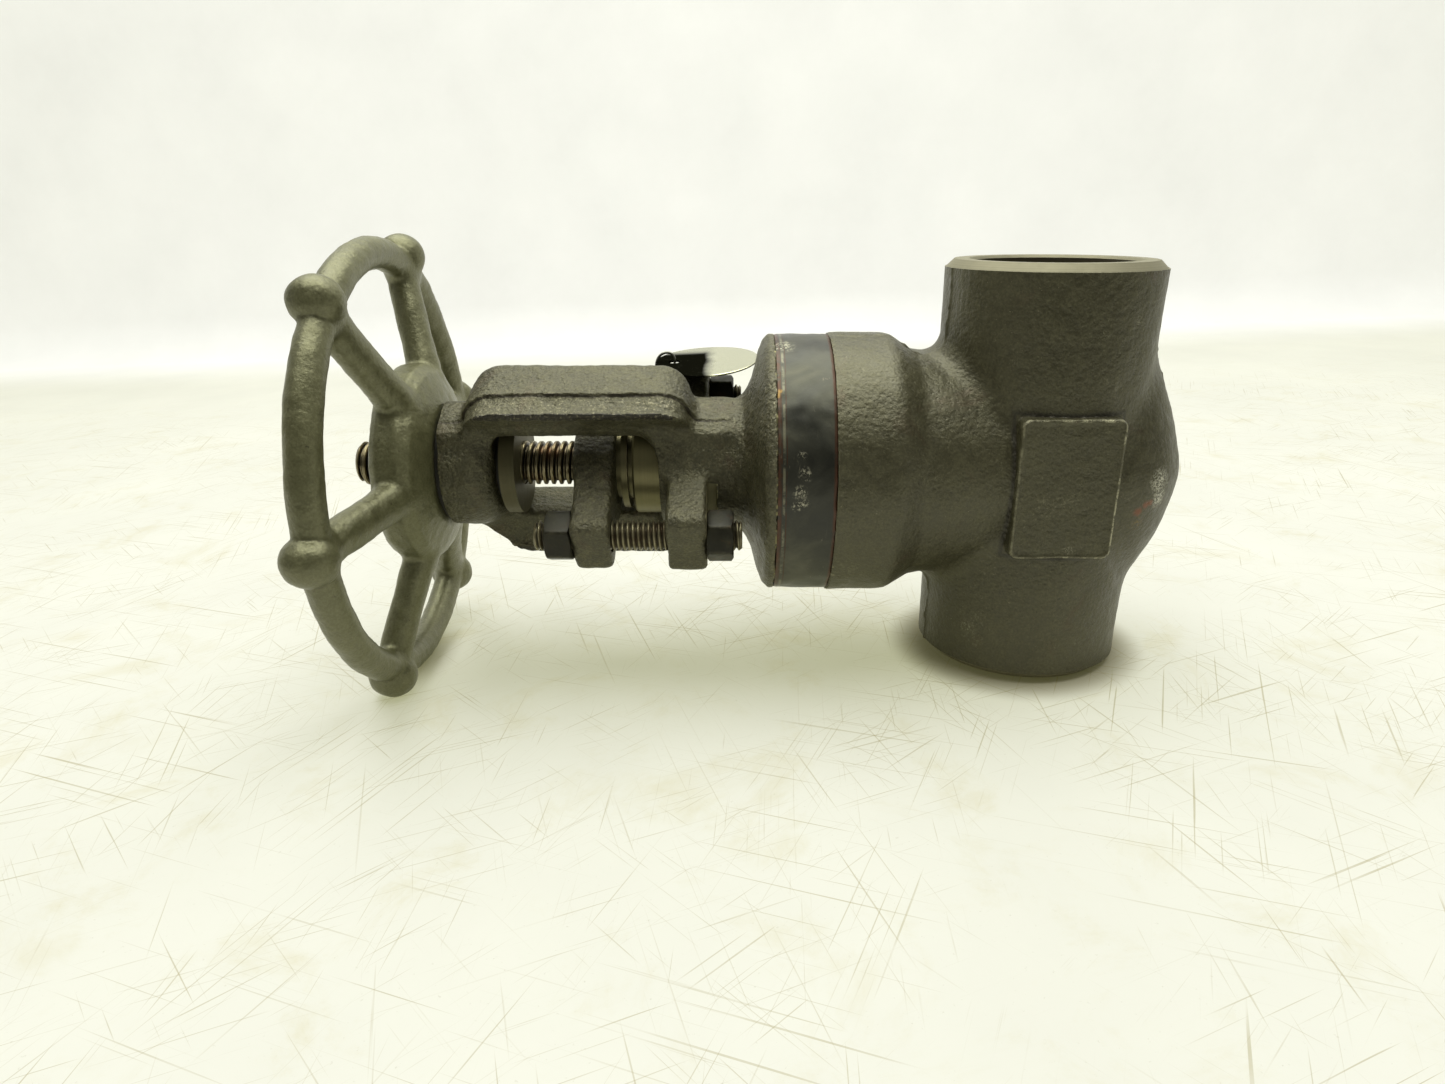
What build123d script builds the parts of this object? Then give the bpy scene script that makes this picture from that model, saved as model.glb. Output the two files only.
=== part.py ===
from build123d import *
import os
from math import sin, cos, tan, radians, degrees, pi, sqrt

# ---------------------------------------------------------------------------
# Forged steel gate valve, outside screw and yoke, welded bonnet, socket ends.
# Row frame: +Z runs along the flow, from the inlet socket's mouth (origin) to
# the outlet; the stem and handwheel point along -X; the cast number pad faces
# -Y.  Millimetres.
# ---------------------------------------------------------------------------
face_to_face = 127.0          # end to end
hub_r = 32.2                  # socket end outer radius
end_chamfer = 2.2
socket_r = 24.4               # socket for 1-1/2 in pipe (48.3 mm outside)
socket_depth = 13.0
port_r = 15.0                 # flow port
yoke_angle = 31.0             # front gland stud below the horizontal, degrees

neck_r = 41.5                 # body neck under the weld
joint_t = 67.9                # body / bonnet weld line, from the flow axis
weld_t0, weld_t1 = 67.9, 84.8 # weld band along the stem
weld_r = 41.1
weld_root_r = 31.0
bulge_t = 45.0                # closed end of the gate chamber
pad_w, pad_h, pad_y = 30.4, 42.6, 33.6   # marking pad: width, height, reach

bonnet_neck_r = 20.2
lug_t0, lug_t1 = 105.7, 117.9
lug_half, lug_reach = 11.7, 36.9
boss_r, boss_t = 16.4, 129.3
stud_c, stud_r = 31.2, 4.70   # stud distance from the stem, radius
stud_t0, stud_t1 = 94.9, 158.4
stud_pitch = 1.5875
nut_af, nut_h = 14.29, 8.2
arm_out, arm_in, arm_half, arm_half_in = 32.4, 18.3, 12.0, 6.6
win_t0, win_t1 = 121.0, 174.4
hub_yoke_r, hub_yoke_t = 20.0, 188.8

stem_r = 7.10
stem_pitch = 2.54
turns = 14
lift = turns * stem_pitch     # 35.56
stem_tip = 220.0
packing_r = 11.9
packing_t0, packing_h, packing_n = 94.0, 4.76, 5

gland_t0, gland_t1 = 135.5, 146.6
gland_half, gland_half_mid, gland_reach = 10.2, 13.6, 37.2
collar_r, collar_t0, collar_t1 = 14.7, 131.0, 133.0
follower_head_r = 11.6

nut_flange_r, nut_flange_t0 = 16.3, 166.2
sleeve_r = 10.5
wheel_t = 208.6               # rim plane
rim_r, rim_s = 66.2, 4.95     # rim circle, section radius
knob_c, knob_r = 69.3, 7.7
knob_angle = 53.0             # first knob, from the front towards the top
wheel_hub_r = 32.0
spoke_r = 5.6

gate_r = 19.5
gate_half = 8.0               # half thickness on the flow axis
wedge = radians(5.0)

z0 = face_to_face / 2.0
os.makedirs("parts", exist_ok=True)
MIN3 = (Align.CENTER, Align.CENTER, Align.MIN)

# Stem frames: local z runs out along the stem, local x to the front, local y up.
flat_frame = Plane(origin=(0, 0, z0), x_dir=(0, -1, 0), z_dir=(-1, 0, 0)).location
_c, _s = cos(radians(yoke_angle)), sin(radians(yoke_angle))
yoke_frame = Plane(origin=(0, 0, z0), x_dir=(0, -_c, -_s), z_dir=(-1, 0, 0)).location


def turned(pts):
    """Solid of revolution about local z from (radius, height) points."""
    return revolve(make_face(Plane.XZ * Polyline(*pts, close=True)), Axis.Z)


def cyl(r, t0, t1, x=0.0, y=0.0):
    return Pos(x, y, t0) * Cylinder(r, t1 - t0, align=MIN3)


def ring(ro, ri, t0, t1, x=0.0, y=0.0):
    return cyl(ro, t0, t1, x, y) - cyl(ri, t0 - 1, t1 + 1, x, y)


def slab(hx, hy, t0, t1, x=0.0, y=0.0):
    return Pos(x, y, t0) * Box(2 * hx, 2 * hy, t1 - t0, align=MIN3)


def hexagon(af, t0, t1, x=0.0, y=0.0, rot=0.0, bore=0.0):
    """Hex nut with both outer corners turned down at 30 degrees."""
    prism = Pos(x, y, t0) * Rot(0, 0, rot) * extrude(
        RegularPolygon(af / sqrt(3.0), 6), amount=t1 - t0)
    rc = af / sqrt(3.0)
    d = (rc - af / 2.0 * 0.97) * tan(radians(30))
    env = Pos(x, y, 0) * turned([(0, t0), (af / 2 * 0.97, t0), (rc + 0.1, t0 + d), (rc + 0.1, t1 - d),
                                 (af / 2 * 0.97, t1), (0, t1)])
    out = prism & env
    if bore:
        out = out - cyl(bore, t0 - 1, t1 + 1, x, y)
    return out


def put(shape, frame=None):
    return shape.moved(frame) if frame is not None else shape


def one(shape):
    """The single solid of a boolean result."""
    s = shape.solids()
    return s[0] if len(s) == 1 else Compound(children=list(s))


nodes = {}

# ------------------------------------------------------------------ valve body
hub = Cylinder(hub_r, face_to_face, align=MIN3)
hub = chamfer(hub.edges().filter_by(GeomType.CIRCLE), end_chamfer)
cap_c, cap_R = -15.0, 30.0     # closed end: ball centre along the stem, radius
barrel_pts = [(0, joint_t), (neck_r, joint_t), (neck_r, 52.5), (40.6, 49.0), (36.4, 41.0), (34.6, 32.0),
              (33.4, 18.0), (33.0, 4.0), (32.4, -6.0), (31.0, -14.0)]
for k in range(1, 9):
    a = radians(3.0 + k * 87.0 / 8.0)
    barrel_pts.append((cap_R * cos(a) if k < 8 else 0.0, cap_c - cap_R * sin(a)))
barrel = put(turned(barrel_pts), flat_frame)
pad = Pos(0, -pad_y, z0) * Box(pad_w, 12.0, pad_h, align=(Align.CENTER, Align.MIN, Align.CENTER))
pad = fillet(pad.edges().filter_by(Axis.Y), 2.2)
body = hub + barrel + pad
# flow passage
passage = Pos(0, 0, -1) * Cylinder(port_r, face_to_face + 2, align=MIN3)
for zz in (0.0, face_to_face - socket_depth):
    passage += Pos(0, 0, zz) * Cylinder(socket_r, socket_depth, align=MIN3)
# gate pocket, guide ribs, bonnet register
pocket = put(slab(21.5, 12.5, -22.0, joint_t + 1), flat_frame)
pocket += put(cyl(25.2, 60.0, joint_t + 1), flat_frame)
seat_hole = Pos(0, 0, z0 - 17.0) * Cylinder(20.0, 34.0, align=MIN3)
ribs = put(slab(2.2, 2.0, -16.0, 58.0, x=20.2) + slab(2.2, 2.0, -16.0, 58.0, x=-20.2), flat_frame)
body = body - passage - pocket - seat_hole
ribs = ribs - Pos(0, 0, z0 - 17.0) * Cylinder(16.0, 34.0, align=MIN3)
body = body + ribs
nodes["valve_body"] = one(body)

# ------------------------------------------------------------------ seat rings
def wedge_slab(x0, x1, extra=0.0, w=60.0):
    """Taper prism between the two seat planes; thicker towards the stem."""
    h0 = gate_half - x0 * tan(wedge) + extra
    h1 = gate_half - x1 * tan(wedge) + extra
    poly = Polyline((x0, z0 - h0), (x1, z0 - h1), (x1, z0 + h1), (x0, z0 + h0), close=True)
    return extrude(make_face(Plane.XZ * poly), amount=w / 2, both=True)


rings = Pos(0, 0, z0 - 16.95) * Cylinder(19.95, 33.9, align=MIN3)
rings = rings - Pos(0, 0, z0 - 20) * Cylinder(port_r, 40, align=MIN3)
rings = rings - wedge_slab(-40, 40, 0.06)
lower, upper = sorted(rings.solids(), key=lambda s: s.center().Z)
# the ribs run into the rings' rims: clear them
rib_clear = put(slab(2.4, 2.1, -30.0, 30.0, x=20.2) + slab(2.4, 2.1, -30.0, 30.0, x=-20.2), flat_frame)
nodes["seat_ring_inlet"] = one(lower - rib_clear)
nodes["seat_ring_outlet"] = one(upper - rib_clear)

# ------------------------------------------------------------------ wedge gate
blank = Pos(0, 0, z0 - 20) * Cylinder(gate_r, 40, align=MIN3)
blank += Pos(0, 0, z0) * Box(30.0, 23.0, 40.0, align=(Align.MAX, Align.CENTER, Align.CENTER))
gate = blank & wedge_slab(-40, 40, 0.0)
tslot = Pos(-20.4, 0, z0) * Box(5.3, 16.6, 60, align=(Align.MAX, Align.CENTER, Align.CENTER))
tslot += Pos(-25.0, 0, z0) * Box(10, 11.4, 60, align=(Align.MAX, Align.CENTER, Align.CENTER))
gate = gate - tslot
for s in (-1, 1):
    gate = gate - Pos(0, s * 17.6, z0) * Box(90, 10, 5.0, align=(Align.CENTER, Align.MIN if s > 0 else Align.MAX, Align.CENTER))
nodes["gate_wedge"] = one(gate)

# ------------------------------------------------------------------------ stem
stem = turned([(0, 20.5), (8.0, 20.5), (8.0, 25.5), (5.5, 25.5), (5.5, 31.0), (9.4, 31.0), (9.4, 33.0),
               (stem_r, 35.3), (stem_r, stem_tip - 1.3), (stem_r - 1.2, stem_tip), (0, stem_tip)])
nodes["stem"] = put(one(stem), flat_frame)

# --------------------------------------------------------- bonnet with its yoke
bonnet = turned([(0, 66.0), (25.0, 66.0), (25.0, weld_t0), (weld_root_r, weld_t0), (weld_root_r, weld_t1),
                 (weld_r, weld_t1), (weld_r, 85.4), (39.2, 87.6), (36.0, 88.8), (27.0, 91.2), (22.2, 93.2),
                 (bonnet_neck_r, 96.4), (bonnet_neck_r, 120.0), (boss_r, 120.0), (boss_r, boss_t),
                 (0, boss_t)])
# stud lugs, front and back
lugs = slab(lug_reach, lug_half, lug_t0, lug_t1)
lugs = fillet(lugs.edges().filter_by(Axis.Z), 3.5)
# yoke arms: one rounded frame in the plane of the stem
frame_pts = [(-20.0, 104.0), (20.0, 104.0), (20.0, 110.0), (arm_out, 123.0), (arm_out, 168.6),
             (26.5, 179.0), (20.0, 183.5), (20.0, hub_yoke_t - 0.3), (-20.0, hub_yoke_t - 0.3), (-20.0, 183.5),
             (-26.5, 179.0), (-arm_out, 168.6), (-arm_out, 123.0), (-20.0, 110.0)]
arms = extrude(make_face(Plane.YZ * Polyline(*frame_pts, close=True)), amount=arm_half, both=True)
win = extrude(make_face(Plane.YZ * Polyline((-arm_in, win_t0), (arm_in, win_t0), (arm_in, win_t1),
                                            (-arm_in, win_t1), close=True)), amount=30, both=True)
win = fillet(win.edges().filter_by(Axis.X), 6.0)
# the arms are narrower on their inner side
for sx in (-1, 1):
    for sy in (-1, 1):
        side = make_face(Polyline((sx * arm_half, sy * (arm_out + 0.1)), (sx * (arm_half + 9), sy * (arm_out + 0.1)),
                                  (sx * (arm_half + 9), sy * 16.0), (sx * (arm_half_in - 0.9), sy * 16.0), close=True))
        arms = arms - Pos(0, 0, 124.0) * extrude(side, amount=46.0)
hub_yoke = cyl(hub_yoke_r, win_t1 - 4.0, hub_yoke_t)
arms = (arms + hub_yoke) - win
bonnet = bonnet + lugs + arms
bonnet = bonnet - cyl(12.5, 60.0, 79.0) - cyl(stem_r + 0.12, 70.0, 130.0) - cyl(packing_r, packing_t0, 140.0)
bonnet = bonnet - cyl(sleeve_r + 0.1, 170.0, 195.0)
for sx in (-1, 1):
    bonnet = bonnet - cyl(stud_r + 0.35, 100.0, 121.0, x=sx * stud_c)
nodes["bonnet_yoke"] = put(one(bonnet), yoke_frame)

weld = ring(weld_r, weld_root_r + 0.02, weld_t0, weld_t1)
nodes["bonnet_weld"] = put(one(weld), flat_frame)

bush = turned([(stem_r + 0.08, 79.0), (12.45, 79.0), (12.45, 69.0), (9.9, 69.0), (stem_r + 0.08, 71.6)])
nodes["backseat_bushing"] = put(one(bush), flat_frame)

# ------------------------------------------------------------ packing and gland
for k in range(packing_n):
    t = packing_t0 + k * packing_h
    nodes[f"packing_ring_{k + 1}"] = put(one(ring(packing_r - 0.02, stem_r + 0.08, t, t + packing_h)), flat_frame)
follower_t0 = packing_t0 + packing_n * packing_h + 0.05
follower = turned([(stem_r + 0.09, follower_t0), (packing_r - 0.08, follower_t0), (packing_r - 0.08, collar_t0),
                   (collar_r, collar_t0), (collar_r, collar_t1), (follower_head_r, collar_t1),
                   (follower_head_r, gland_t0), (stem_r + 0.09, gland_t0)])
nodes["gland_follower"] = put(one(follower), flat_frame)

oval = Polyline((-gland_reach, -gland_half), (-20.0, -gland_half), (-9.0, -gland_half_mid), (9.0, -gland_half_mid),
                (20.0, -gland_half), (gland_reach, -gland_half), (gland_reach, gland_half), (20.0, gland_half),
                (9.0, gland_half_mid), (-9.0, gland_half_mid), (-20.0, gland_half), (-gland_reach, gland_half),
                close=True)
flange = Pos(0, 0, gland_t0) * extrude(make_face(oval), amount=gland_t1 - gland_t0)
flange = fillet(flange.edges().filter_by(Axis.Z), 3.0)
flange = flange - cyl(stem_r + 0.6, 130, 150)
for sx in (-1, 1):
    flange = flange - cyl(stud_r + 0.45, 130, 150, x=sx * stud_c)
nodes["gland_flange"] = put(one(flange), yoke_frame)

# ------------------------------------------------------------- studs and nuts
def stud(x):
    c = 0.8
    return Pos(x, 0, 0) * turned([(0, stud_t0), (stud_r - c, stud_t0), (stud_r, stud_t0 + c),
                                  (stud_r, stud_t1 - c), (stud_r - c, stud_t1), (0, stud_t1)])


studs = Compound(children=[one(stud(stud_c)).moved(yoke_frame), one(stud(-stud_c)).moved(yoke_frame)])
nodes["gland_studs"] = studs
nodes["gland_nut_front"] = put(one(hexagon(nut_af, gland_t1 + 0.05, gland_t1 + 0.05 + nut_h, x=stud_c, rot=-4,
                                           bore=stud_r + 0.05)), yoke_frame)
nodes["gland_nut_back"] = put(one(hexagon(nut_af, gland_t1 + 0.05, gland_t1 + 0.05 + nut_h, x=-stud_c, rot=17,
                                          bore=stud_r + 0.05)), yoke_frame)
lug_nuts = [put(one(hexagon(nut_af, lug_t0 - nut_h, lug_t0, x=sx * stud_c, rot=rr, bore=stud_r + 0.02)), yoke_frame)
            for sx, rr in ((1, 8), (-1, 23))]
nodes["lug_nuts"] = Compound(children=lug_nuts)

# ------------------------------------------------------ yoke nut and handwheel
ynut = cyl(nut_flange_r, nut_flange_t0, 171.0) + cyl(sleeve_r, 171.0, 207.2) + cyl(10.15, 207.2, 214.2)
for sx in (-1, 1):
    ynut = ynut - slab(3.0, 20.0, 190.32, 207.2, x=sx * (9.3 + 3.0))
ynut = ynut - cyl(stem_r + 0.06, 160.0, 220.0)
nodes["yoke_nut"] = put(one(ynut), flat_frame)
nodes["thrust_washer"] = put(one(ring(12.2, sleeve_r + 0.1, 171.05, win_t1)), flat_frame)
nodes["wheel_washer"] = put(one(ring(18.4, sleeve_r + 0.1, hub_yoke_t, 190.3)), flat_frame)

whub = turned([(0, 190.35), (20.6, 190.35), (25.6, 192.4), (29.6, 194.2), (wheel_hub_r, 197.2),
               (wheel_hub_r, 203.4), (30.4, 205.9), (27.0, 207.2), (0, 207.2)])
wheel = whub + Pos(0, 0, wheel_t) * Torus(rim_r, rim_s)
for k in range(6):
    a = knob_angle + 60.0 * k
    wheel += Rot(0, 0, a) * (Pos(knob_c, 0, wheel_t) * Sphere(knob_r))
    x_a, t_a, x_b, t_b = 26.0, 199.0, 66.0, wheel_t - 0.2
    length = sqrt((x_b - x_a) ** 2 + (t_b - t_a) ** 2)
    spoke_plane = Plane(origin=(x_a, 0, t_a), z_dir=(x_b - x_a, 0, t_b - t_a))
    wheel += Rot(0, 0, a) * (Cylinder(spoke_r, length, align=MIN3).moved(spoke_plane.location))
drive = cyl(sleeve_r + 0.02, 185.0, 215.0)
for sx in (-1, 1):
    drive = drive - slab(3.0, 20.0, 185.0, 215.0, x=sx * (9.32 + 3.0))
wheel = wheel - drive
nodes["handwheel"] = put(one(wheel), flat_frame)
nodes["wheel_nut"] = put(one(hexagon(27.0, 207.25, 213.1, rot=12, bore=10.17)), flat_frame)

# ---------------------------------------------------------------- tag and wire
tag_r, tag_t = 17.4, 0.8
tag_c = (-106.5, 20.0, z0 + 30.0)
tag_hole, tag_hole_r = 11.0, 2.0        # hole's distance from the disc's centre
tag = Cylinder(tag_r, tag_t) - Pos(-tag_hole, 0, 0) * Cylinder(tag_hole_r, 3.0)
nodes["id_tag"] = one((Pos(*tag_c) * Rot(7.0, 0, 0) * Rot(0, -3.0, 0)) * tag)

# tie wire: through the tag's hole and round the back gland stud
wire_r = 0.5
wire_pts = [(-116.9, 20.0, 29.6), (-117.5, 20.0, 32.6), (-119.6, 20.0, 34.2), (-122.6, 20.0, 33.6),
            (-124.9, 20.1, 31.2), (-125.3, 20.4, 28.0), (-124.6, 20.6, 20.0), (-123.6, 20.6, 13.6),
            (-122.8, 24.0, 9.9), (-122.0, 29.2, 9.9), (-121.4, 32.8, 14.0), (-120.8, 31.2, 20.6),
            (-119.7, 25.4, 26.8), (-117.8, 20.6, 28.3)]
wire = None
for k, p in enumerate(wire_pts):
    q = wire_pts[(k + 1) % len(wire_pts)]
    p1, q1 = Vector(p[0], p[1], z0 + p[2]), Vector(q[0], q[1], z0 + q[2])
    seg = Cylinder(wire_r, (q1 - p1).length, align=MIN3).moved(Plane(origin=p1, z_dir=q1 - p1).location)
    seg = seg + Pos(*p1) * Sphere(wire_r)
    wire = seg if wire is None else wire + seg
nodes["tag_wire"] = one(wire)

for name, shape in nodes.items():
    shape.label = name
    export_step(shape, f"parts/{name}.step")
    print(name, round(shape.volume, 1))
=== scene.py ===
import math

import bpy
import bmesh
import numpy as np
from mathutils import Matrix, Vector


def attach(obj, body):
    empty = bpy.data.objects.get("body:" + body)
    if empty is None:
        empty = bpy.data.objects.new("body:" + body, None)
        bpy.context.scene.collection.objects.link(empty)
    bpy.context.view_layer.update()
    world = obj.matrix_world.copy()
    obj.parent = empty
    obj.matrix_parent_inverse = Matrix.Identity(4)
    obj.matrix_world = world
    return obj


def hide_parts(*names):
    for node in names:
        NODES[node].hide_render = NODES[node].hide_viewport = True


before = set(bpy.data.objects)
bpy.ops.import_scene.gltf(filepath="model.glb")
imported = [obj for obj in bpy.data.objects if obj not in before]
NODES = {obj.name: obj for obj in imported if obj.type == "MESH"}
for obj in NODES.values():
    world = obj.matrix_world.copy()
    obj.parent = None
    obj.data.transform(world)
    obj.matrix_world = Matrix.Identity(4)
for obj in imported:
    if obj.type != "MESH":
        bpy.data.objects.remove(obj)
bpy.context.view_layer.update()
MM = 0.001

# ---------------------------------------------------------------- dimensions
# The same numbers as the CAD source, in millimetres, in the same frame.
L = 127.0
Z0 = L / 2
PHI = math.radians(31.0)
CP, SP = math.cos(PHI), math.sin(PHI)
NECK_R, JOINT_T = 41.5, 67.9
WELD_T0, WELD_T1, WELD_R = 67.9, 84.8, 41.1
STUD_C, STUD_R, PITCH_S = 31.2, 4.70, 1.5875
STEM_R, PITCH, TIP = 7.10, 2.54, 220.0
WHEEL_T, RIM_R, RIM_S = 208.6, 66.2, 4.9
KNOB_C, KNOB_A = 69.3, 53.0


# ---------------------------------------------------------------- frames
def flat(P):
    """(front, up, t) about the stem -> row frame."""
    return np.column_stack((-P[:, 2], -P[:, 0], P[:, 1] + Z0))


def yoke(P):
    """(stud direction, arm direction, t) -> row frame."""
    s, a, t = P[:, 0], P[:, 1], P[:, 2]
    return np.column_stack((-t, -CP * s - SP * a, Z0 - SP * s + CP * a))


def yoke_inv(R):
    x, y, z = R[:, 0], R[:, 1], R[:, 2] - Z0
    return np.column_stack((-CP * y - SP * z, -SP * y + CP * z, -x))


# ---------------------------------------------------------------- field tools
def waves(seed, lam, n=16):
    rng = np.random.default_rng(seed)
    k = rng.normal(size=(n, 3))
    k /= np.linalg.norm(k, axis=1, keepdims=True)
    k *= (2 * np.pi / lam) * rng.uniform(0.65, 1.5, (n, 1))
    ph = rng.uniform(0, 2 * np.pi, n)

    def f(x, y, z):
        out = np.zeros_like(x)
        for i in range(n):
            out += np.sin(k[i, 0] * x + k[i, 1] * y + k[i, 2] * z + ph[i])
        return out * (1.0 / math.sqrt(n / 2))
    return f


def poly_sdf(px, py, pts):
    d = np.full(px.shape, 1e9)
    sg = np.ones(px.shape)
    n = len(pts)
    for i in range(n):
        ax, ay = pts[i]
        bx, by = pts[i - 1]
        ex, ey = bx - ax, by - ay
        wx, wy = px - ax, py - ay
        h = np.clip((wx * ex + wy * ey) / (ex * ex + ey * ey), 0, 1)
        qx, qy = wx - ex * h, wy - ey * h
        d = np.minimum(d, qx * qx + qy * qy)
        c1, c2, c3 = py >= ay, py < by, ex * wy > ey * wx
        flip = (c1 & c2 & c3) | (~c1 & ~c2 & ~c3)
        sg = np.where(flip, -sg, sg)
    return sg * np.sqrt(d)


def rounded(pts, radii, seg=6):
    """A closed polygon with its corners turned to arcs."""
    out = []
    n = len(pts)
    for i in range(n):
        p0, p1, p2 = (np.array(pts[(i + j) % n], float) for j in (-1, 0, 1))
        r = radii[i] if isinstance(radii, (list, tuple)) else radii
        u, v = p0 - p1, p2 - p1
        lu, lv = np.linalg.norm(u), np.linalg.norm(v)
        u, v = u / lu, v / lv
        half = math.acos(max(-1, min(1, float(u @ v)))) / 2
        if r <= 0 or abs(half - math.pi / 2) < 1e-3:
            out.append(tuple(p1))
            continue
        cut = min(r / math.tan(half), 0.78 * lu, 0.78 * lv)
        r = cut * math.tan(half)
        c = p1 + (u + v) / np.linalg.norm(u + v) * (r / math.sin(half))
        a, b = p1 + u * cut, p1 + v * cut
        a0 = math.atan2(*(a - c)[::-1])
        a1 = math.atan2(*(b - c)[::-1])
        da = (a1 - a0 + math.pi) % (2 * math.pi) - math.pi
        for k in range(seg + 1):
            th = a0 + da * k / seg
            out.append((c[0] + r * math.cos(th), c[1] + r * math.sin(th)))
    return out


def r_union(a, b, r):
    return np.maximum(r, np.minimum(a, b)) - np.sqrt(np.maximum(r - a, 0) ** 2 + np.maximum(r - b, 0) ** 2)


def r_inter(a, b, r):
    return np.minimum(-r, np.maximum(a, b)) + np.sqrt(np.maximum(r + a, 0) ** 2 + np.maximum(r + b, 0) ** 2)


def smooth(x, a, b):
    t = np.clip((x - a) / (b - a), 0, 1)
    return t * t * (3 - 2 * t)


def axis(lo, hi, h, fine=()):
    pts, x = [lo], lo
    while x < hi:
        step = h
        for a, b, f in fine:
            if a <= x < b:
                step = min(step, f)
            elif x < a < x + step:
                step = min(step, max(a - x, f))
        x += step
        pts.append(x)
    return np.array(pts)


def nets(f, g, ax, ay, az, iters=4):
    """Surface of f < 0 on a grid of uneven spacing, then moved onto g = 0."""
    nx, ny, nz = len(ax), len(ay), len(az)
    V = np.empty((nx, ny, nz), np.float32)
    Y, Z = np.meshgrid(ay, az, indexing="ij")
    yy, zz = Y.ravel(), Z.ravel()
    step = max(1, int(300000 / (ny * nz)))
    for i in range(0, nx, step):
        xs = ax[i:i + step]
        V[i:i + step] = f(np.repeat(xs, ny * nz), np.tile(yy, len(xs)), np.tile(zz, len(xs))).reshape(len(xs), ny, nz)
    S = V < 0
    cnt = np.zeros((nx - 1, ny - 1, nz - 1), np.int8)
    for a in (0, 1):
        for b in (0, 1):
            for c in (0, 1):
                cnt += S[a:nx - 1 + a, b:ny - 1 + b, c:nz - 1 + c]
    act = (cnt > 0) & (cnt < 8)
    I, J, K = np.nonzero(act)
    idx = np.full(act.shape, -1, np.int64)
    idx[I, J, K] = np.arange(len(I))
    val = {(a, b, c): V[I + a, J + b, K + c].astype(float) for a in (0, 1) for b in (0, 1) for c in (0, 1)}
    pos = {(a, b, c): np.column_stack((ax[I + a], ay[J + b], az[K + c])) for a in (0, 1) for b in (0, 1) for c in (0, 1)}
    acc = np.zeros((len(I), 3))
    num = np.zeros(len(I))
    keys = list(val)
    for m in range(8):
        for n in range(m + 1, 8):
            p, q = keys[m], keys[n]
            if sum(abs(p[i] - q[i]) for i in range(3)) != 1:
                continue
            vp, vq = val[p], val[q]
            w = (vp < 0) != (vq < 0)
            t = np.where(w, vp / np.where(w, vp - vq, 1), 0)[:, None]
            acc += np.where(w[:, None], pos[p] + (pos[q] - pos[p]) * t, 0)
            num += w
    P = acc / num[:, None]
    quads = []
    for ch, order in ((0, ((0, -1, -1), (0, 0, -1), (0, 0, 0), (0, -1, 0))),
                      (1, ((-1, 0, -1), (-1, 0, 0), (0, 0, 0), (0, 0, -1))),
                      (2, ((-1, -1, 0), (0, -1, 0), (0, 0, 0), (-1, 0, 0)))):
        s0 = [slice(1, n - 1) for n in (nx, ny, nz)]
        s1 = list(s0)
        s0[ch] = slice(0, (nx, ny, nz)[ch] - 1)
        s1[ch] = slice(1, (nx, ny, nz)[ch])
        A, B = S[tuple(s0)], S[tuple(s1)]
        i, j, k = np.nonzero(A != B)
        off = [1, 1, 1]
        off[ch] = 0
        i, j, k = i + off[0], j + off[1], k + off[2]
        inside = S[i, j, k]
        q = np.stack([idx[i + o[0], j + o[1], k + o[2]] for o in order], 1)
        q[~inside] = q[~inside][:, ::-1]
        quads.append(q)
    Q = np.concatenate(quads)
    lim = 0.9 * min(np.diff(ax).max(), np.diff(ay).max(), np.diff(az).max())
    e = 0.03
    for _ in range(iters):
        x, y, z = P[:, 0], P[:, 1], P[:, 2]
        d = g(x, y, z)
        G = np.column_stack((g(x + e, y, z) - g(x - e, y, z), g(x, y + e, z) - g(x, y - e, z), g(x, y, z + e) - g(x, y, z - e))) / (2 * e)
        n2 = np.maximum((G * G).sum(1), 0.2)
        P = P - np.clip(d / n2, -lim, lim)[:, None] * G
    return P, Q


# ---------------------------------------------------------------- mesh tools
def mesh_obj(name, P, faces, smooth_angle=None):
    me = bpy.data.meshes.new(name)
    P = np.asarray(P, float) * MM
    if isinstance(faces, np.ndarray):
        n, m = faces.shape
        me.vertices.add(len(P))
        me.vertices.foreach_set("co", P.astype(np.float32).ravel())
        me.loops.add(n * m)
        me.loops.foreach_set("vertex_index", faces.astype(np.int32).ravel())
        me.polygons.add(n)
        me.polygons.foreach_set("loop_start", (np.arange(n) * m).astype(np.int32))
        me.update(calc_edges=True)
        me.validate()
    else:
        me.from_pydata([tuple(p) for p in P], [], faces)
        me.update()
    ob = bpy.data.objects.new(name, me)
    bpy.context.scene.collection.objects.link(ob)
    if smooth_angle is not None:
        finish_shading(ob, smooth_angle)
    return ob


def finish_shading(ob, angle):
    me = ob.data
    me.polygons.foreach_set("use_smooth", [True] * len(me.polygons))
    if angle < 179:
        me.set_sharp_from_angle(angle=math.radians(angle))
    me.update()


def lathe(prof, n=128, place=flat, cx=0.0, cy=0.0, radial=None):
    """Closed solid of revolution from (r, t) points listed anticlockwise in the (r, t) plane."""
    V, rings = [], []
    th = np.arange(n) * 2 * np.pi / n
    for r, t in prof:
        if r < 1e-6:
            rings.append([len(V)])
            V.append((cx, cy, t))
        else:
            rr = np.full(n, r) if radial is None else radial(r, t, th)
            rings.append(list(range(len(V), len(V) + n)))
            V += [(cx + rr[i] * math.cos(th[i]), cy + rr[i] * math.sin(th[i]), t) for i in range(n)]
    F = []
    m = len(prof)
    for k in range(m):
        A, B = rings[k], rings[(k + 1) % m]
        if len(A) == 1 and len(B) == 1:
            continue
        for i in range(n):
            j = (i + 1) % n
            if len(A) == 1:
                F.append((A[0], B[j], B[i]))
            elif len(B) == 1:
                F.append((A[i], A[j], B[0]))
            else:
                F.append((A[i], A[j], B[j], B[i]))
    P = np.array(V, float)
    return place(P), F


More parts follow.
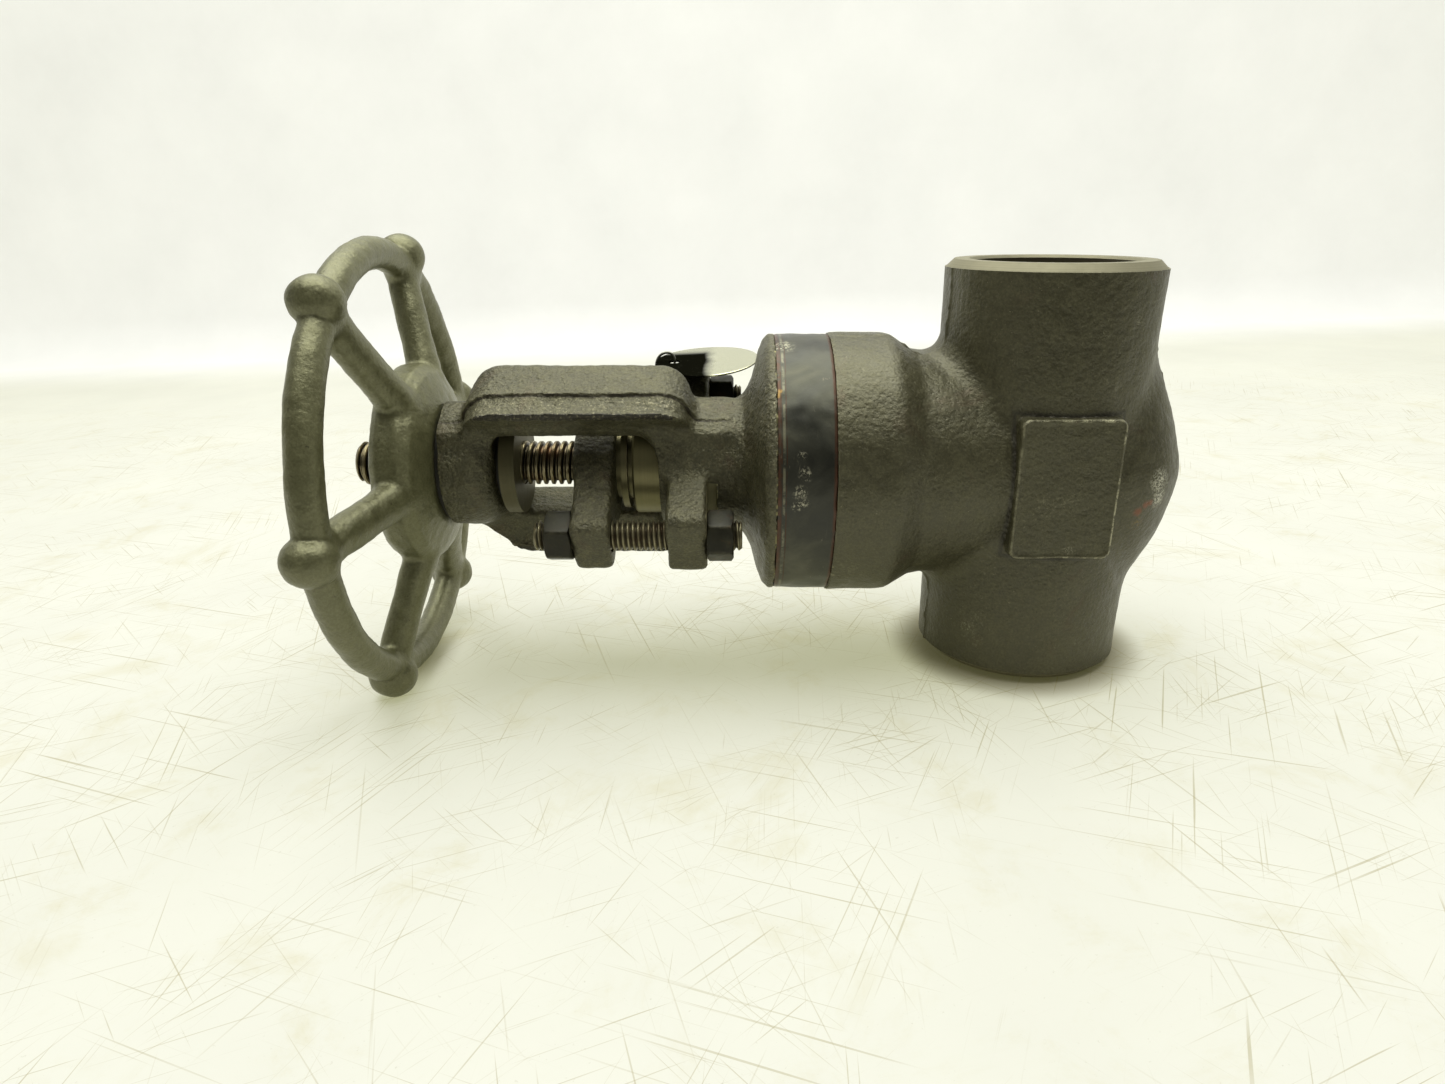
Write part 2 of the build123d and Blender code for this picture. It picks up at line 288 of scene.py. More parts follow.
def lathe_z(P):
    """(x, y, z) already in the row frame, about the flow axis."""
    return P


def recalc(ob):
    bm = bmesh.new()
    bm.from_mesh(ob.data)
    bmesh.ops.recalc_face_normals(bm, faces=bm.faces)
    bm.to_mesh(ob.data)
    bm.free()
    return ob


def boolean(ob, steps):
    """steps: (operation, tool object). The tools are removed."""
    for op, tool in steps:
        before = len(ob.data.polygons)
        done = False
        for solver in ("MANIFOLD", "EXACT"):
            m = ob.modifiers.new("cut", "BOOLEAN")
            m.operation, m.object, m.solver = op, tool, solver
            dg = bpy.context.evaluated_depsgraph_get()
            dg.update()
            me = bpy.data.meshes.new_from_object(ob.evaluated_get(dg), depsgraph=dg)
            ob.modifiers.remove(m)
            if len(me.polygons) > 0 and len(me.polygons) != before:
                ob.data = me
                done = True
                break
            print("boolean", ob.name, tool.name, solver, "gave nothing")
        if not done:
            print("boolean failed", ob.name, tool.name)
        bpy.data.objects.remove(tool)
    return ob


def tool(P, F, name="tool"):
    return recalc(mesh_obj(name, P, F))


def paint(ob, mats, rule):
    """Gives each face the material that rule picks from its centre and normal, both in the row frame in mm."""
    me = ob.data
    me.materials.clear()
    for m in mats:
        me.materials.append(m)
    n = len(me.polygons)
    c, nn = np.zeros(n * 3), np.zeros(n * 3)
    me.polygons.foreach_get("center", c)
    me.polygons.foreach_get("normal", nn)
    pick = rule(c.reshape(-1, 3) / MM, nn.reshape(-1, 3))
    me.polygons.foreach_set("material_index", pick.astype(np.int32))
    me.update()


# ---------------------------------------------------------------- materials
class Mat:
    def __init__(self, name):
        self.m = bpy.data.materials.new(name)
        self.m.use_nodes = True
        self.t = self.m.node_tree
        self.b = next(n for n in self.t.nodes if n.type == "BSDF_PRINCIPLED")
        self.co = self.node("ShaderNodeTexCoord").outputs["Object"]

    def node(self, kind, **kw):
        n = self.t.nodes.new(kind)
        for k, v in kw.items():
            setattr(n, k, v)
        return n

    def put(self, sock, v):
        if isinstance(v, bpy.types.NodeSocket):
            self.t.links.new(v, sock)
        else:
            sock.default_value = v

    def noise(self, scale, detail=4, rough=0.55, vec=None, dist=0.0):
        n = self.node("ShaderNodeTexNoise")
        self.put(n.inputs["Vector"], vec if vec is not None else self.co)
        n.inputs["Scale"].default_value = scale
        n.inputs["Detail"].default_value = detail
        n.inputs["Roughness"].default_value = rough
        n.inputs["Distortion"].default_value = dist
        return n.outputs["Fac"]

    def voronoi(self, scale, feature="F1", rand=1.0, vec=None):
        n = self.node("ShaderNodeTexVoronoi", feature=feature)
        self.put(n.inputs["Vector"], vec if vec is not None else self.co)
        n.inputs["Scale"].default_value = scale
        n.inputs["Randomness"].default_value = rand
        return n.outputs["Distance"]

    def scale_vec(self, s, offset=(0, 0, 0), rot=(0, 0, 0)):
        n = self.node("ShaderNodeMapping")
        self.put(n.inputs["Vector"], self.co)
        n.inputs["Scale"].default_value = s
        n.inputs["Location"].default_value = offset
        n.inputs["Rotation"].default_value = rot
        return n.outputs["Vector"]

    def ramp(self, fac, stops, interp="LINEAR"):
        n = self.node("ShaderNodeValToRGB")
        cr = n.color_ramp
        cr.interpolation = interp
        while len(cr.elements) > 1:
            cr.elements.remove(cr.elements[-1])
        cr.elements[0].position = stops[0][0]
        cr.elements[0].color = col(stops[0][1])
        for p, c in stops[1:]:
            e = cr.elements.new(p)
            e.color = col(c)
        self.put(n.inputs["Fac"], fac)
        return n.outputs["Color"]

    def step(self, fac, a, b, out0=0.0, out1=1.0):
        n = self.node("ShaderNodeMapRange", interpolation_type="SMOOTHSTEP")
        self.put(n.inputs["Value"], fac)
        n.inputs["From Min"].default_value = a
        n.inputs["From Max"].default_value = b
        n.inputs["To Min"].default_value = out0
        n.inputs["To Max"].default_value = out1
        return n.outputs["Result"]

    def math(self, op, a, b=0.0, c=None):
        n = self.node("ShaderNodeMath", operation=op)
        self.put(n.inputs[0], a)
        self.put(n.inputs[1], b)
        if c is not None:
            self.put(n.inputs[2], c)
        return n.outputs[0]

    def mix(self, fac, a, b, mode="MIX"):
        n = self.node("ShaderNodeMix", data_type="RGBA", blend_type=mode)
        self.put(n.inputs["Factor"], fac)
        self.put(n.inputs[6], col(a) if isinstance(a, tuple) else a)
        self.put(n.inputs[7], col(b) if isinstance(b, tuple) else b)
        return n.outputs[2]

    def xyz(self):
        n = self.node("ShaderNodeSeparateXYZ")
        self.put(n.inputs[0], self.co)
        return n.outputs

    def spot(self, p, r, soft=0.5, jag=0.0, scale=900):
        """1 inside a ball at p (mm), falling to 0 at radius r (mm)."""
        n = self.node("ShaderNodeVectorMath", operation="DISTANCE")
        self.put(n.inputs[0], self.co)
        n.inputs[1].default_value = [v * MM for v in p]
        d = n.outputs["Value"]
        if jag:
            w = self.math("MULTIPLY_ADD", self.noise(scale, 5, 0.65), jag * MM, -0.5 * jag * MM)
            d = self.math("ADD", d, w)
        return self.step(d, r * MM, r * MM * soft)

    def bump(self, height, dist, strength=1.0, normal=None):
        n = self.node("ShaderNodeBump")
        n.inputs["Strength"].default_value = strength
        n.inputs["Distance"].default_value = dist * MM
        self.put(n.inputs["Height"], height)
        if normal is not None:
            self.put(n.inputs["Normal"], normal)
        return n.outputs["Normal"]

    def done(self, color=None, rough=None, metal=None, normal=None, spec=None, coat=None):
        b = self.b.inputs
        if color is not None:
            self.put(b["Base Color"], col(color) if isinstance(color, tuple) else color)
        if rough is not None:
            self.put(b["Roughness"], rough)
        if metal is not None:
            self.put(b["Metallic"], metal)
        if normal is not None:
            self.put(b["Normal"], normal)
        if spec is not None:
            self.put(b["Specular IOR Level"], spec)
        if coat is not None:
            b["Coat Weight"].default_value = coat
            b["Coat Roughness"].default_value = 0.25
        return self.m


def col(c):
    return (c[0], c[1], c[2], 1.0) if len(c) == 3 else c


def srgb(r, g, b):
    def f(v):
        v /= 255.0
        return v / 12.92 if v <= 0.04045 else ((v + 0.055) / 1.055) ** 2.4
    return (f(r), f(g), f(b))


def forged(name, dark, mid, light, grain=1.0, rust=srgb(74, 50, 30), rust_at=0.68, extra=None, rough=(0.37, 0.50), metal=0.5):
    k = Mat(name)
    big = k.noise(26, 3, 0.5)
    mid_n = k.noise(300, 6, 0.62)
    fine = k.noise(1500, 4, 0.6)
    peb = k.voronoi(820, "SMOOTH_F1")
    tone = k.math("ADD", k.math("MULTIPLY", big, 0.22), k.math("MULTIPLY", mid_n, 0.36))
    tone = k.math("ADD", tone, k.math("MULTIPLY", fine, 0.42))
    c = k.ramp(tone, [(0.40, dark), (0.5, mid), (0.60, light)])
    # faint brown bloom, and pale dust in the grain
    bloom = k.step(k.noise(44, 6, 0.65, dist=0.6), rust_at - 0.1, rust_at + 0.06)
    c = k.mix(k.math("MULTIPLY", bloom, 0.40), c, rust)
    pit = k.step(k.noise(640, 3, 0.55), 0.33, 0.25)
    c = k.mix(k.math("MULTIPLY", pit, 0.55), c, srgb(40, 34, 24))
    dust = k.step(k.math("MULTIPLY", k.noise(1000, 3, 0.7), k.noise(70, 4, 0.6)), 0.34, 0.43)
    c = k.mix(k.math("MULTIPLY", dust, 0.22), c, srgb(150, 146, 118))
    # painted glints: small light specks in the grain stand in for sparkle off the forged skin
    glint_speck = k.step(k.noise(1700, 2, 0.5), 0.73, 0.78)
    c = k.mix(k.math("MULTIPLY", glint_speck, 0.45), c, srgb(170, 162, 132))
    # darker in the hollows, and worn edges are lighter
    geo = k.node("ShaderNodeNewGeometry")
    hollow_dark = k.step(geo.outputs["Pointiness"], 0.487, 0.44)
    c = k.mix(k.math("MULTIPLY", hollow_dark, 0.65), c, srgb(44, 38, 26))
    wear = k.step(geo.outputs["Pointiness"], 0.53, 0.59)
    wear = k.math("MULTIPLY", wear, k.step(k.noise(520, 5, 0.7), 0.36, 0.6))
    c = k.mix(k.math("MULTIPLY", wear, 0.45), c, srgb(156, 150, 122))
    rg = k.step(mid_n, 0.3, 0.7, rough[0], rough[1])
    if extra:
        c, rg = extra(k, c, rg)
    h = k.math("ADD", k.math("MULTIPLY", fine, 0.55), k.math("MULTIPLY", peb, 0.6))
    h = k.math("ADD", h, k.math("MULTIPLY", mid_n, 1.1))
    nrm = k.bump(h, 0.34 * grain, 0.85)
    return k.done(c, rg, metal, nrm, spec=0.95)


def body_marks(k, c, rg):
    # small rust smear, a yellow stain and a pale scuff near the closed end
    r1 = k.math("MAXIMUM", k.spot((24.5, -27.4, 55.0), 2.1, 0.2, 1.8, 900), k.math("MAXIMUM", k.spot((26.8, -26.9, 57.0), 1.9, 0.2, 1.8, 900), k.spot((28.4, -26.3, 57.6), 1.5, 0.2, 1.8, 900)))
    c = k.mix(k.math("MULTIPLY", r1, 0.75), c, srgb(122, 66, 34))
    r3 = k.math("MULTIPLY", k.spot((25.3, -26.1, 51.0), 3.0, 0.1, 2.4, 900), k.step(k.noise(1100, 4, 0.7), 0.45, 0.58))
    c = k.mix(k.math("MULTIPLY", r3, 0.6), c, srgb(122, 98, 40))
    sc = k.math("MAXIMUM", k.spot((30.6, -25.6, 64.0), 5.4, 0.15, 4.2, 420), k.spot((31.4, -24.8, 58.8), 4.4, 0.15, 3.6, 420))
    sc = k.math("MULTIPLY", sc, k.step(k.noise(1500, 5, 0.8), 0.47, 0.56))
    c = k.mix(k.math("MULTIPLY", sc, 0.9), c, srgb(200, 198, 180))
    # pale scuffs on the neck and hubs
    for p, r in (((-56, -40, 60), 2.4), ((-46, -34, 52), 2.4), ((-22.5, -22.4, 15.0), 3.2), ((-20.5, -21.7, 0.8), 2.4), ((16.5, -27.6, 111.6), 2.4), ((6, -31.5, 108), 1.8), ((-56, -38, 86), 2.6), ((-18, -28, 100), 2.0), ((2.5, -33.9, 45), 2.2)):
        m = k.math("MULTIPLY", k.spot(p, r, 0.1, 2.4, 500), k.step(k.noise(1700, 4, 0.8), 0.53, 0.6))
        c = k.mix(k.math("MULTIPLY", m, 0.6), c, srgb(170, 166, 140))
    # worn rim of the raised pad: partly real wear, partly a painted highlight that is stronger towards the right side
    # and at the corners
    x, y, z = k.xyz()
    ax = k.math("SUBTRACT", k.math("ABSOLUTE", x), 15.2 * MM)
    az = k.math("SUBTRACT", k.math("ABSOLUTE", k.math("SUBTRACT", z, Z0 * MM)), 21.3 * MM)
    rim = k.step(k.math("ABSOLUTE", k.math("ADD", k.math("MAXIMUM", ax, az), 0.5 * MM)), 0.62 * MM, 0.2 * MM)
    rim = k.math("MULTIPLY", rim, k.step(y, -32.6 * MM, -33.4 * MM))
    rim = k.math("MULTIPLY", rim, k.step(k.math("MULTIPLY_ADD", k.noise(45, 3, 0.6), 26 * MM, x), 3.0 * MM, 20.0 * MM, 0.30, 1.0))
    both = k.step(k.math("MINIMUM", ax, az), -3.6 * MM, -1.4 * MM)
    pad_rim_wear_and_highlight = k.math("MULTIPLY", rim, k.math("MAXIMUM", k.step(k.noise(330, 5, 0.75), 0.47, 0.57), k.math("MULTIPLY", both, 0.8)))
    pad_rim_wear_and_highlight = k.math("MAXIMUM", k.math("MULTIPLY", rim, 0.06), pad_rim_wear_and_highlight)
    c = k.mix(k.math("MULTIPLY", pad_rim_wear_and_highlight, 0.75), c, srgb(176, 172, 142))
    # painted shadow along the foot of the raised pad
    pad_foot_shadow = k.math("MAXIMUM", ax, az)
    pad_foot_shadow = k.math("MULTIPLY", k.step(pad_foot_shadow, 0.0, 0.35 * MM), k.step(pad_foot_shadow, 1.9 * MM, 0.7 * MM))
    pad_foot_shadow = k.math("MULTIPLY", pad_foot_shadow, k.step(y, -26.0 * MM, -28.0 * MM))
    c = k.mix(k.math("MULTIPLY", pad_foot_shadow, 0.6), c, srgb(34, 30, 20))
    return c, rg


FLASH_S = 3.4


def bonnet_marks(k, c, rg):
    # dark flash line and torn trim line on the yoke
    x, y, z = k.xyz()
    zc = k.math("SUBTRACT", z, Z0 * MM)
    s = k.math("MULTIPLY", k.math("ADD", k.math("MULTIPLY", y, -CP), k.math("MULTIPLY", zc, -SP)), 1.0 / MM)
    a = k.math("ABSOLUTE", k.math("MULTIPLY", k.math("ADD", k.math("MULTIPLY", y, -SP), k.math("MULTIPLY", zc, CP)), 1.0 / MM))
    t = k.math("MULTIPLY", x, -1.0 / MM)
    jag = k.math("MULTIPLY_ADD", k.noise(620, 5, 0.7), 1.5, -0.75)
    fl = k.step(k.math("ABSOLUTE", k.math("ADD", k.math("SUBTRACT", s, FLASH_S + 0.35), k.math("MULTIPLY", jag, 0.35))), 0.42, 0.12)
    fl = k.math("MULTIPLY", fl, k.math("MULTIPLY", k.step(a, 18.0, 21.0), k.step(t, 97.0, 101.0)))
    c = k.mix(k.math("MULTIPLY", fl, 0.75), c, srgb(44, 36, 24))
    tr = k.step(k.math("ABSOLUTE", k.math("ADD", k.math("SUBTRACT", s, 11.75), k.math("MULTIPLY", jag, 0.5))), 0.62, 0.2)
    tr = k.math("MULTIPLY", tr, k.math("MULTIPLY", k.step(a, 28.6, 30.4), k.math("MULTIPLY", k.step(t, 109.0, 116.0), k.step(t, 180.0, 174.0))))
    c = k.mix(k.math("MULTIPLY", tr, 0.9), c, srgb(30, 24, 15))
    # the sheared band between them is coarser, and painted glints make it a little brighter
    glint = k.math("MULTIPLY", k.step(s, FLASH_S, FLASH_S + 1.0), k.step(k.noise(1250, 3, 0.6), 0.56, 0.66))
    c = k.mix(k.math("MULTIPLY", k.math("MULTIPLY", glint, k.step(a, 26.0, 31.0)), 0.5), c, srgb(158, 152, 124))
    return c, rg


OL_D, OL_M, OL_L = srgb(65, 62, 41), srgb(74, 71, 48), srgb(86, 83, 58)
M_BODY = forged("forged_body", OL_D, OL_M, OL_L, 1.0, extra=body_marks)
M_BONNET = forged("forged_bonnet", srgb(60, 58, 38), srgb(73, 70, 47), srgb(94, 91, 65), 2.1, extra=bonnet_marks)
M_GLAND = forged("gland_forging", srgb(60, 57, 38), srgb(76, 73, 50), srgb(102, 98, 70), 2.6, rust_at=0.66)
M_WHEEL = forged("wheel_casting", srgb(92, 91, 62), srgb(103, 102, 71), srgb(114, 113, 81), 0.6, rust_at=0.76, rough=(0.34, 0.46))


def machined(name, a, b, rough=0.36, metal=0.85, about="z", lines=2600, rust=0.25):
    """Turned metal: fine rings about the given axis, light rust and handling marks."""
    k = Mat(name)
    x, y, z = k.xyz()
    if about == "z":
        r = k.math("SQRT", k.math("ADD", k.math("MULTIPLY", x, x), k.math("MULTIPLY", y, y)))
        along = z
    else:
        zz = k.math("SUBTRACT", z, Z0 * MM)
        r = k.math("SQRT", k.math("ADD", k.math("MULTIPLY", y, y), k.math("MULTIPLY", zz, zz)))
        along = x
    cmb = k.node("ShaderNodeCombineXYZ")
    k.put(cmb.inputs[0], r)
    k.put(cmb.inputs[1], along)
    rings = k.noise(lines, 3, 0.6, vec=cmb.outputs[0])
    big = k.noise(70, 5, 0.6)
    c = k.mix(k.math("ADD", k.math("MULTIPLY", rings, 0.5), k.math("MULTIPLY", big, 0.5)), a, b)
    st = k.step(k.noise(210, 6, 0.7, dist=0.5), 0.6, 0.75)
    c = k.mix(k.math("MULTIPLY", st, rust), c, srgb(92, 62, 38))
    rg = k.math("MULTIPLY_ADD", k.noise(400, 4, 0.6), 0.22, rough - 0.08)
    return k.done(c, rg, metal, k.bump(rings, 0.05, 0.6))


M_RIM = machined("machined_end", srgb(96, 92, 72), srgb(150, 145, 120), 0.52, 0.35, "z", 1500, 0.45)
M_SPOT = machined("spot_face", srgb(136, 131, 98), srgb(172, 166, 130), 0.5, 0.2, "x", 900, 0.35)
M_BORE = machined("machined_bore", srgb(70, 66, 54), srgb(110, 104, 86), 0.45, 0.7, "z", 1500, 0.6)
M_BOSS = machined("machined_boss", srgb(100, 96, 68), srgb(134, 128, 92), 0.36, 0.7, "x", 1500, 0.35)
M_TRIM = machined("trim_steel", srgb(150, 148, 140), srgb(196, 193, 184), 0.25, 0.95, "z", 1500, 0.12)
M_FOLLOW = machined("follower_steel", srgb(92, 88, 64), srgb(128, 122, 90), 0.34, 0.8, "x", 2000, 0.3)
M_NUTBR = machined("yoke_nut_bronze", srgb(70, 67, 45), srgb(94, 89, 62), 0.5, 0.5, "x", 1500, 0.35)
M_WASHER = machined("dark_washer", srgb(30, 29, 26), srgb(48, 46, 40), 0.5, 0.5, "x", 900, 0.3)
M_GRAPHITE = machined("graphite", srgb(34, 34, 34), srgb(58, 58, 58), 0.5, 0.3, "x", 1200, 0.0)


def weld_mat():
    k = Mat("weld_band")
    x, y, z = k.xyz()
    t = k.math("MULTIPLY", x, -1.0 / MM)
    big = k.noise(55, 5, 0.6, dist=0.5)
    c = k.ramp(big, [(0.30, srgb(46, 47, 42)), (0.52, srgb(70, 70, 60)), (0.72, srgb(100, 99, 84))])
    # painted shade: the band is darker around mid height, where it faces sideways away from the overhead light
    mid = k.step(k.math("ABSOLUTE", k.math("MULTIPLY_ADD", z, 1.0 / MM, -Z0 + 2.0)), 30.0, 6.0)
    c = k.mix(k.math("MULTIPLY", mid, 0.55), c, srgb(36, 36, 33))
    # vertical smears of pale dust
    sv = k.scale_vec((900, 260, 130))
    sm = k.step(k.noise(1.0, 5, 0.7, vec=sv, dist=0.8), 0.62, 0.76)
    sm = k.math("MULTIPLY", sm, k.step(k.noise(60, 3, 0.6), 0.5, 0.62))
    c = k.mix(k.math("MULTIPLY", sm, 0.7), c, srgb(168, 160, 138))
    e0 = k.step(k.math("ABSOLUTE", k.math("SUBTRACT", t, WELD_T0)), 1.3, 0.2)
    e1 = k.step(k.math("ABSOLUTE", k.math("SUBTRACT", t, WELD_T1)), 1.3, 0.2)
    e = k.math("MULTIPLY", k.math("MAXIMUM", e0, e1), k.step(k.noise(300, 5, 0.7), 0.3, 0.55))
    c = k.mix(k.math("MULTIPLY", e, 0.8), c, srgb(88, 54, 36))
    drip = k.math("MAXIMUM", k.spot((-85.0, -30.1, 91.3), 1.4, 0.4, 1.3, 900), k.spot((-84.2, -29.6, 92.4), 1.0, 0.4, 1.0, 900))
    c = k.mix(drip, c, srgb(150, 120, 66))
    scuff = k.spot((-82.5, -12.0, 102.5), 4.6, 0.2, 4.0, 400)
    for p, r in (((-77.9, -39.1, 75.9), 1.8), ((-77.0, -40.4, 70.6), 2.6), ((-78.6, -41.1, 65.4), 2.8), ((-77.7, -41.0, 62.0), 2.2), ((-79.4, -41.0, 61.0), 1.8), ((-76.0, -39.0, 47.0), 1.2), ((-77.0, -36.5, 40.5), 1.4)):
        scuff = k.math("MAXIMUM", scuff, k.spot(p, r, 0.2, 2.2, 500))
    scuff = k.math("MULTIPLY", scuff, k.step(k.noise(900, 5, 0.75), 0.49, 0.58))
    c = k.mix(k.math("MULTIPLY", scuff, 0.8), c, srgb(190, 186, 164))
    for tt, wd in ((WELD_T0 + 0.7, 0.28), (WELD_T0 + 0.05, 0.35), (WELD_T1 - 0.9, 0.3), (WELD_T1 - 2.4, 0.22)):
        ln = k.step(k.math("ABSOLUTE", k.math("ADD", k.math("SUBTRACT", t, tt), k.math("MULTIPLY_ADD", k.noise(60, 3, 0.6), 0.7, -0.35))), wd, wd * 0.4)
        c = k.mix(k.math("MULTIPLY", k.math("MULTIPLY", ln, k.step(k.noise(240, 4, 0.7), 0.34, 0.56)), 0.8), c, srgb(70, 44, 26))
    lt = k.step(k.math("ABSOLUTE", k.math("SUBTRACT", t, WELD_T1 - 1.7)), 0.5, 0.2)
    c = k.mix(k.math("MULTIPLY", k.math("MULTIPLY", lt, k.step(k.noise(180, 4, 0.7), 0.42, 0.6)), 0.5), c, srgb(150, 146, 122))
    h = k.math("ADD", k.math("MULTIPLY", k.noise(500, 4, 0.6), 0.6), k.math("MULTIPLY", k.noise(1800, 3, 0.6), 0.3))
    rg = k.step(big, 0.3, 0.7, 0.3, 0.5)
    return k.done(c, rg, 0.45, k.bump(h, 0.12, 0.6), spec=0.5)


M_WELD = weld_mat()


def black_oxide():
    k = Mat("black_oxide")
    n1, n2 = k.noise(260, 5, 0.6), k.noise(150, 6, 0.7, dist=0.6)
    c = k.ramp(n1, [(0.3, srgb(30, 29, 21)), (0.6, srgb(43, 42, 31)), (0.78, srgb(62, 60, 45))])
    x, y, z = k.xyz()
    low = k.step(x, -0.115, -0.110, 0.12, 1.0)
    c = k.mix(k.math("MULTIPLY", k.math("MULTIPLY", k.step(n2, 0.50, 0.64), 0.5), low), c, srgb(84, 56, 32))
    geo = k.node("ShaderNodeNewGeometry")
    wear = k.math("MULTIPLY", k.step(geo.outputs["Pointiness"], 0.54, 0.62), k.step(k.noise(700, 4, 0.7), 0.4, 0.6))
    c = k.mix(k.math("MULTIPLY", wear, 0.7), c, srgb(150, 143, 116))
    h = k.math("ADD", k.noise(1400, 4, 0.6), k.math("MULTIPLY", n1, 0.8))
    return k.done(c, k.step(n1, 0.3, 0.7, 0.36, 0.52), 0.35, k.bump(h, 0.07, 0.6), spec=0.35)


M_OXIDE = black_oxide()


def thread_mat(name, crest, root, brown, metal=0.85, rough=0.3, lo=0.44, hi=0.56):
    """Threaded steel: oily dark brown roots that also carry painted shade, bright crests that also carry a painted
    highlight.
    """
    k = Mat(name)
    geo = k.node("ShaderNodeNewGeometry")
    p = k.step(geo.outputs["Pointiness"], lo, hi)
    n1 = k.noise(150, 4, 0.6)
    # painted shade and highlight: pointiness darkens the thread roots and brightens the crests
    c = k.mix(p, root, crest)
    x, y, z = k.xyz()
    inside = k.step(x, -0.196, -0.188, 0.25, 1.0)
    c = k.mix(k.math("MULTIPLY", k.math("MULTIPLY", k.step(n1, 0.45, 0.68), 0.65), inside), c, brown)
    h = k.noise(1500, 3, 0.6)
    return k.done(c, k.math("MULTIPLY_ADD", n1, 0.25, rough - 0.1), metal, k.bump(h, 0.04, 0.5))


M_STEM = thread_mat("stem_steel", srgb(158, 147, 116), srgb(18, 13, 8), srgb(88, 60, 36), 0.85, 0.30, 0.462, 0.565)
M_STUD = thread_mat("stud_steel", srgb(150, 143, 116), srgb(30, 27, 20), srgb(70, 54, 36), 0.75, 0.36)


def tag_mat():
    k = Mat("tag_stainless")
    brush = k.noise(1.0, 5, 0.65, vec=k.scale_vec((5200, 260, 900)))
    big = k.noise(80, 4, 0.6)
    c = k.mix(brush, srgb(176, 176, 152), srgb(214, 214, 188))
    x, y, z = k.xyz()
    # painted reflection: the left part of the disc is painted near-black, with its metal and specular turned down, to
    # stand in for a dark reflection
    xx = k.math("ADD", x, k.math("MULTIPLY_ADD", k.noise(90, 3, 0.5), 0.006, -0.003))
    dark_reflection_patch = k.step(xx, -0.1030, -0.1075)
    dark_reflection_patch = k.math("MULTIPLY", dark_reflection_patch, k.step(y, 0.034, 0.028, 0.35, 1.0))
    c = k.mix(dark_reflection_patch, c, srgb(14, 14, 9))
    sc = k.step(k.noise(1.0, 4, 0.7, vec=k.scale_vec((300, 4200, 900), rot=(0, 0, 0.5))), 0.66, 0.7)
    c = k.mix(k.math("MULTIPLY", sc, 0.5), c, srgb(120, 120, 106))
    return k.done(c, k.math("MULTIPLY_ADD", big, 0.16, 0.16), k.math("MULTIPLY_ADD", dark_reflection_patch, -0.9, 0.9), k.bump(brush, 0.02, 0.35), spec=k.math("MULTIPLY_ADD", dark_reflection_patch, -0.5, 0.5))


def wire_mat():
    k = Mat("wire_stainless")
    n = k.noise(600, 4, 0.6)
    c = k.mix(n, srgb(96, 96, 90), srgb(160, 160, 152))
    return k.done(c, k.math("MULTIPLY_ADD", n, 0.2, 0.22), 0.95, k.bump(k.noise(2500, 3, 0.6), 0.03, 0.4))


M_TAG, M_WIRE = tag_mat(), wire_mat()


# ---------------------------------------------------------------- valve body
W_BIG, W_MID, W_FINE = waves(3, 17.0), waves(5, 6.0), waves(8, 2.7, 20)
W_JAG = waves(21, 3.2, 12)
BARREL = [(0, JOINT_T), (NECK_R, JOINT_T)] + rounded(
    [(NECK_R, JOINT_T), (NECK_R, 49.4), (36.4, 41.4), (35.0, 33.0), (33.0, 18.0), (32.0, 2.0), (30.0, -10.0)],
    [0, 7.5, 6.0, 12.0, 40.0, 40.0, 0], 5)[1:-1] + [(30.0, -10.0), (26.0, -15.0), (0, -17.0)]
PARTING_Y = -5.0
BULGE_Z = np.array([0, 2, 4, 7, 10, 14, 17, 20, 23, 26, 29, 33, 36, 39, 43, 60.0])
BULGE_X = np.array([44.8, 44.7, 44.4, 43.7, 42.9, 41.7, 40.7, 39.7, 38.5, 37.2, 36.0, 34.4, 33.5, 32.9, 32.4, 31.9])
BULGE_LOW = np.array([44.8, 44.75, 44.6, 44.2, 43.6, 42.7, 41.9, 41.0, 39.9, 38.7, 37.5, 35.8, 34.7, 33.8, 33.0, 31.9])


def body_field(x, y, z, fine=False):
    zz = z - Z0
    r = np.hypot(x, y)
    hub = r - 32.2
    rb = np.hypot(y, zz)
    barrel = poly_sdf(rb, -x, BARREL)
    # blend radius follows the angle between the two skins
    cosang = y * y / np.maximum(r * rb, 1e-3)
    fil = 0.25 + 7.0 * np.clip(1 - cosang, 0, 1) ** 0.8 * smooth(np.abs(zz), 6.0, 26.0)
    d = r_union(hub, barrel, fil)
    # closed end of the gate chamber: a round nose that fades into the hub
    rho = np.where(zz > 0, np.interp(zz, BULGE_Z, BULGE_X), np.interp(-zz, BULGE_Z, BULGE_LOW)) - 15.0
    nose = (np.hypot(x - 15.0, y) - rho) * 0.93
    k = 3.0
    h = np.clip(0.5 + 0.5 * (d - nose) / k, 0, 1)
    d = d + (nose - d) * h - 0.5 * k * h * (1 - h)
    # raised pad
    px, pz = np.abs(x) - 15.2 + 2.9, np.abs(zz) - 21.3 + 2.9
    plan = np.hypot(np.maximum(px, 0), np.maximum(pz, 0)) + np.minimum(np.maximum(px, pz), 0) - 2.9
    rim = smooth(plan, -1.5, -0.9) * smooth(plan, 0.0, -0.35)
    py = -(y + 34.05) - 0.28 * rim
    padd = r_inter(plan, np.maximum(py, y + 20), 0.95)
    d = r_union(d, padd, 0.5)
    if fine:
        d = d + 0.07 * W_BIG(x, y, z) + 0.022 * W_MID(x, y, z) + 0.014 * W_FINE(x, y, z)
        ridge = np.exp(-((y - PARTING_Y - 0.25 * W_MID(x, z, z)) / 0.62) ** 2)
        d = d - 0.52 * ridge * np.clip(0.75 + 0.35 * W_JAG(x, 0 * y, z), 0.15, 1.3)
    return d


def body_coarse(x, y, z):
    return np.maximum(body_field(x, y, z), -(x + JOINT_T))


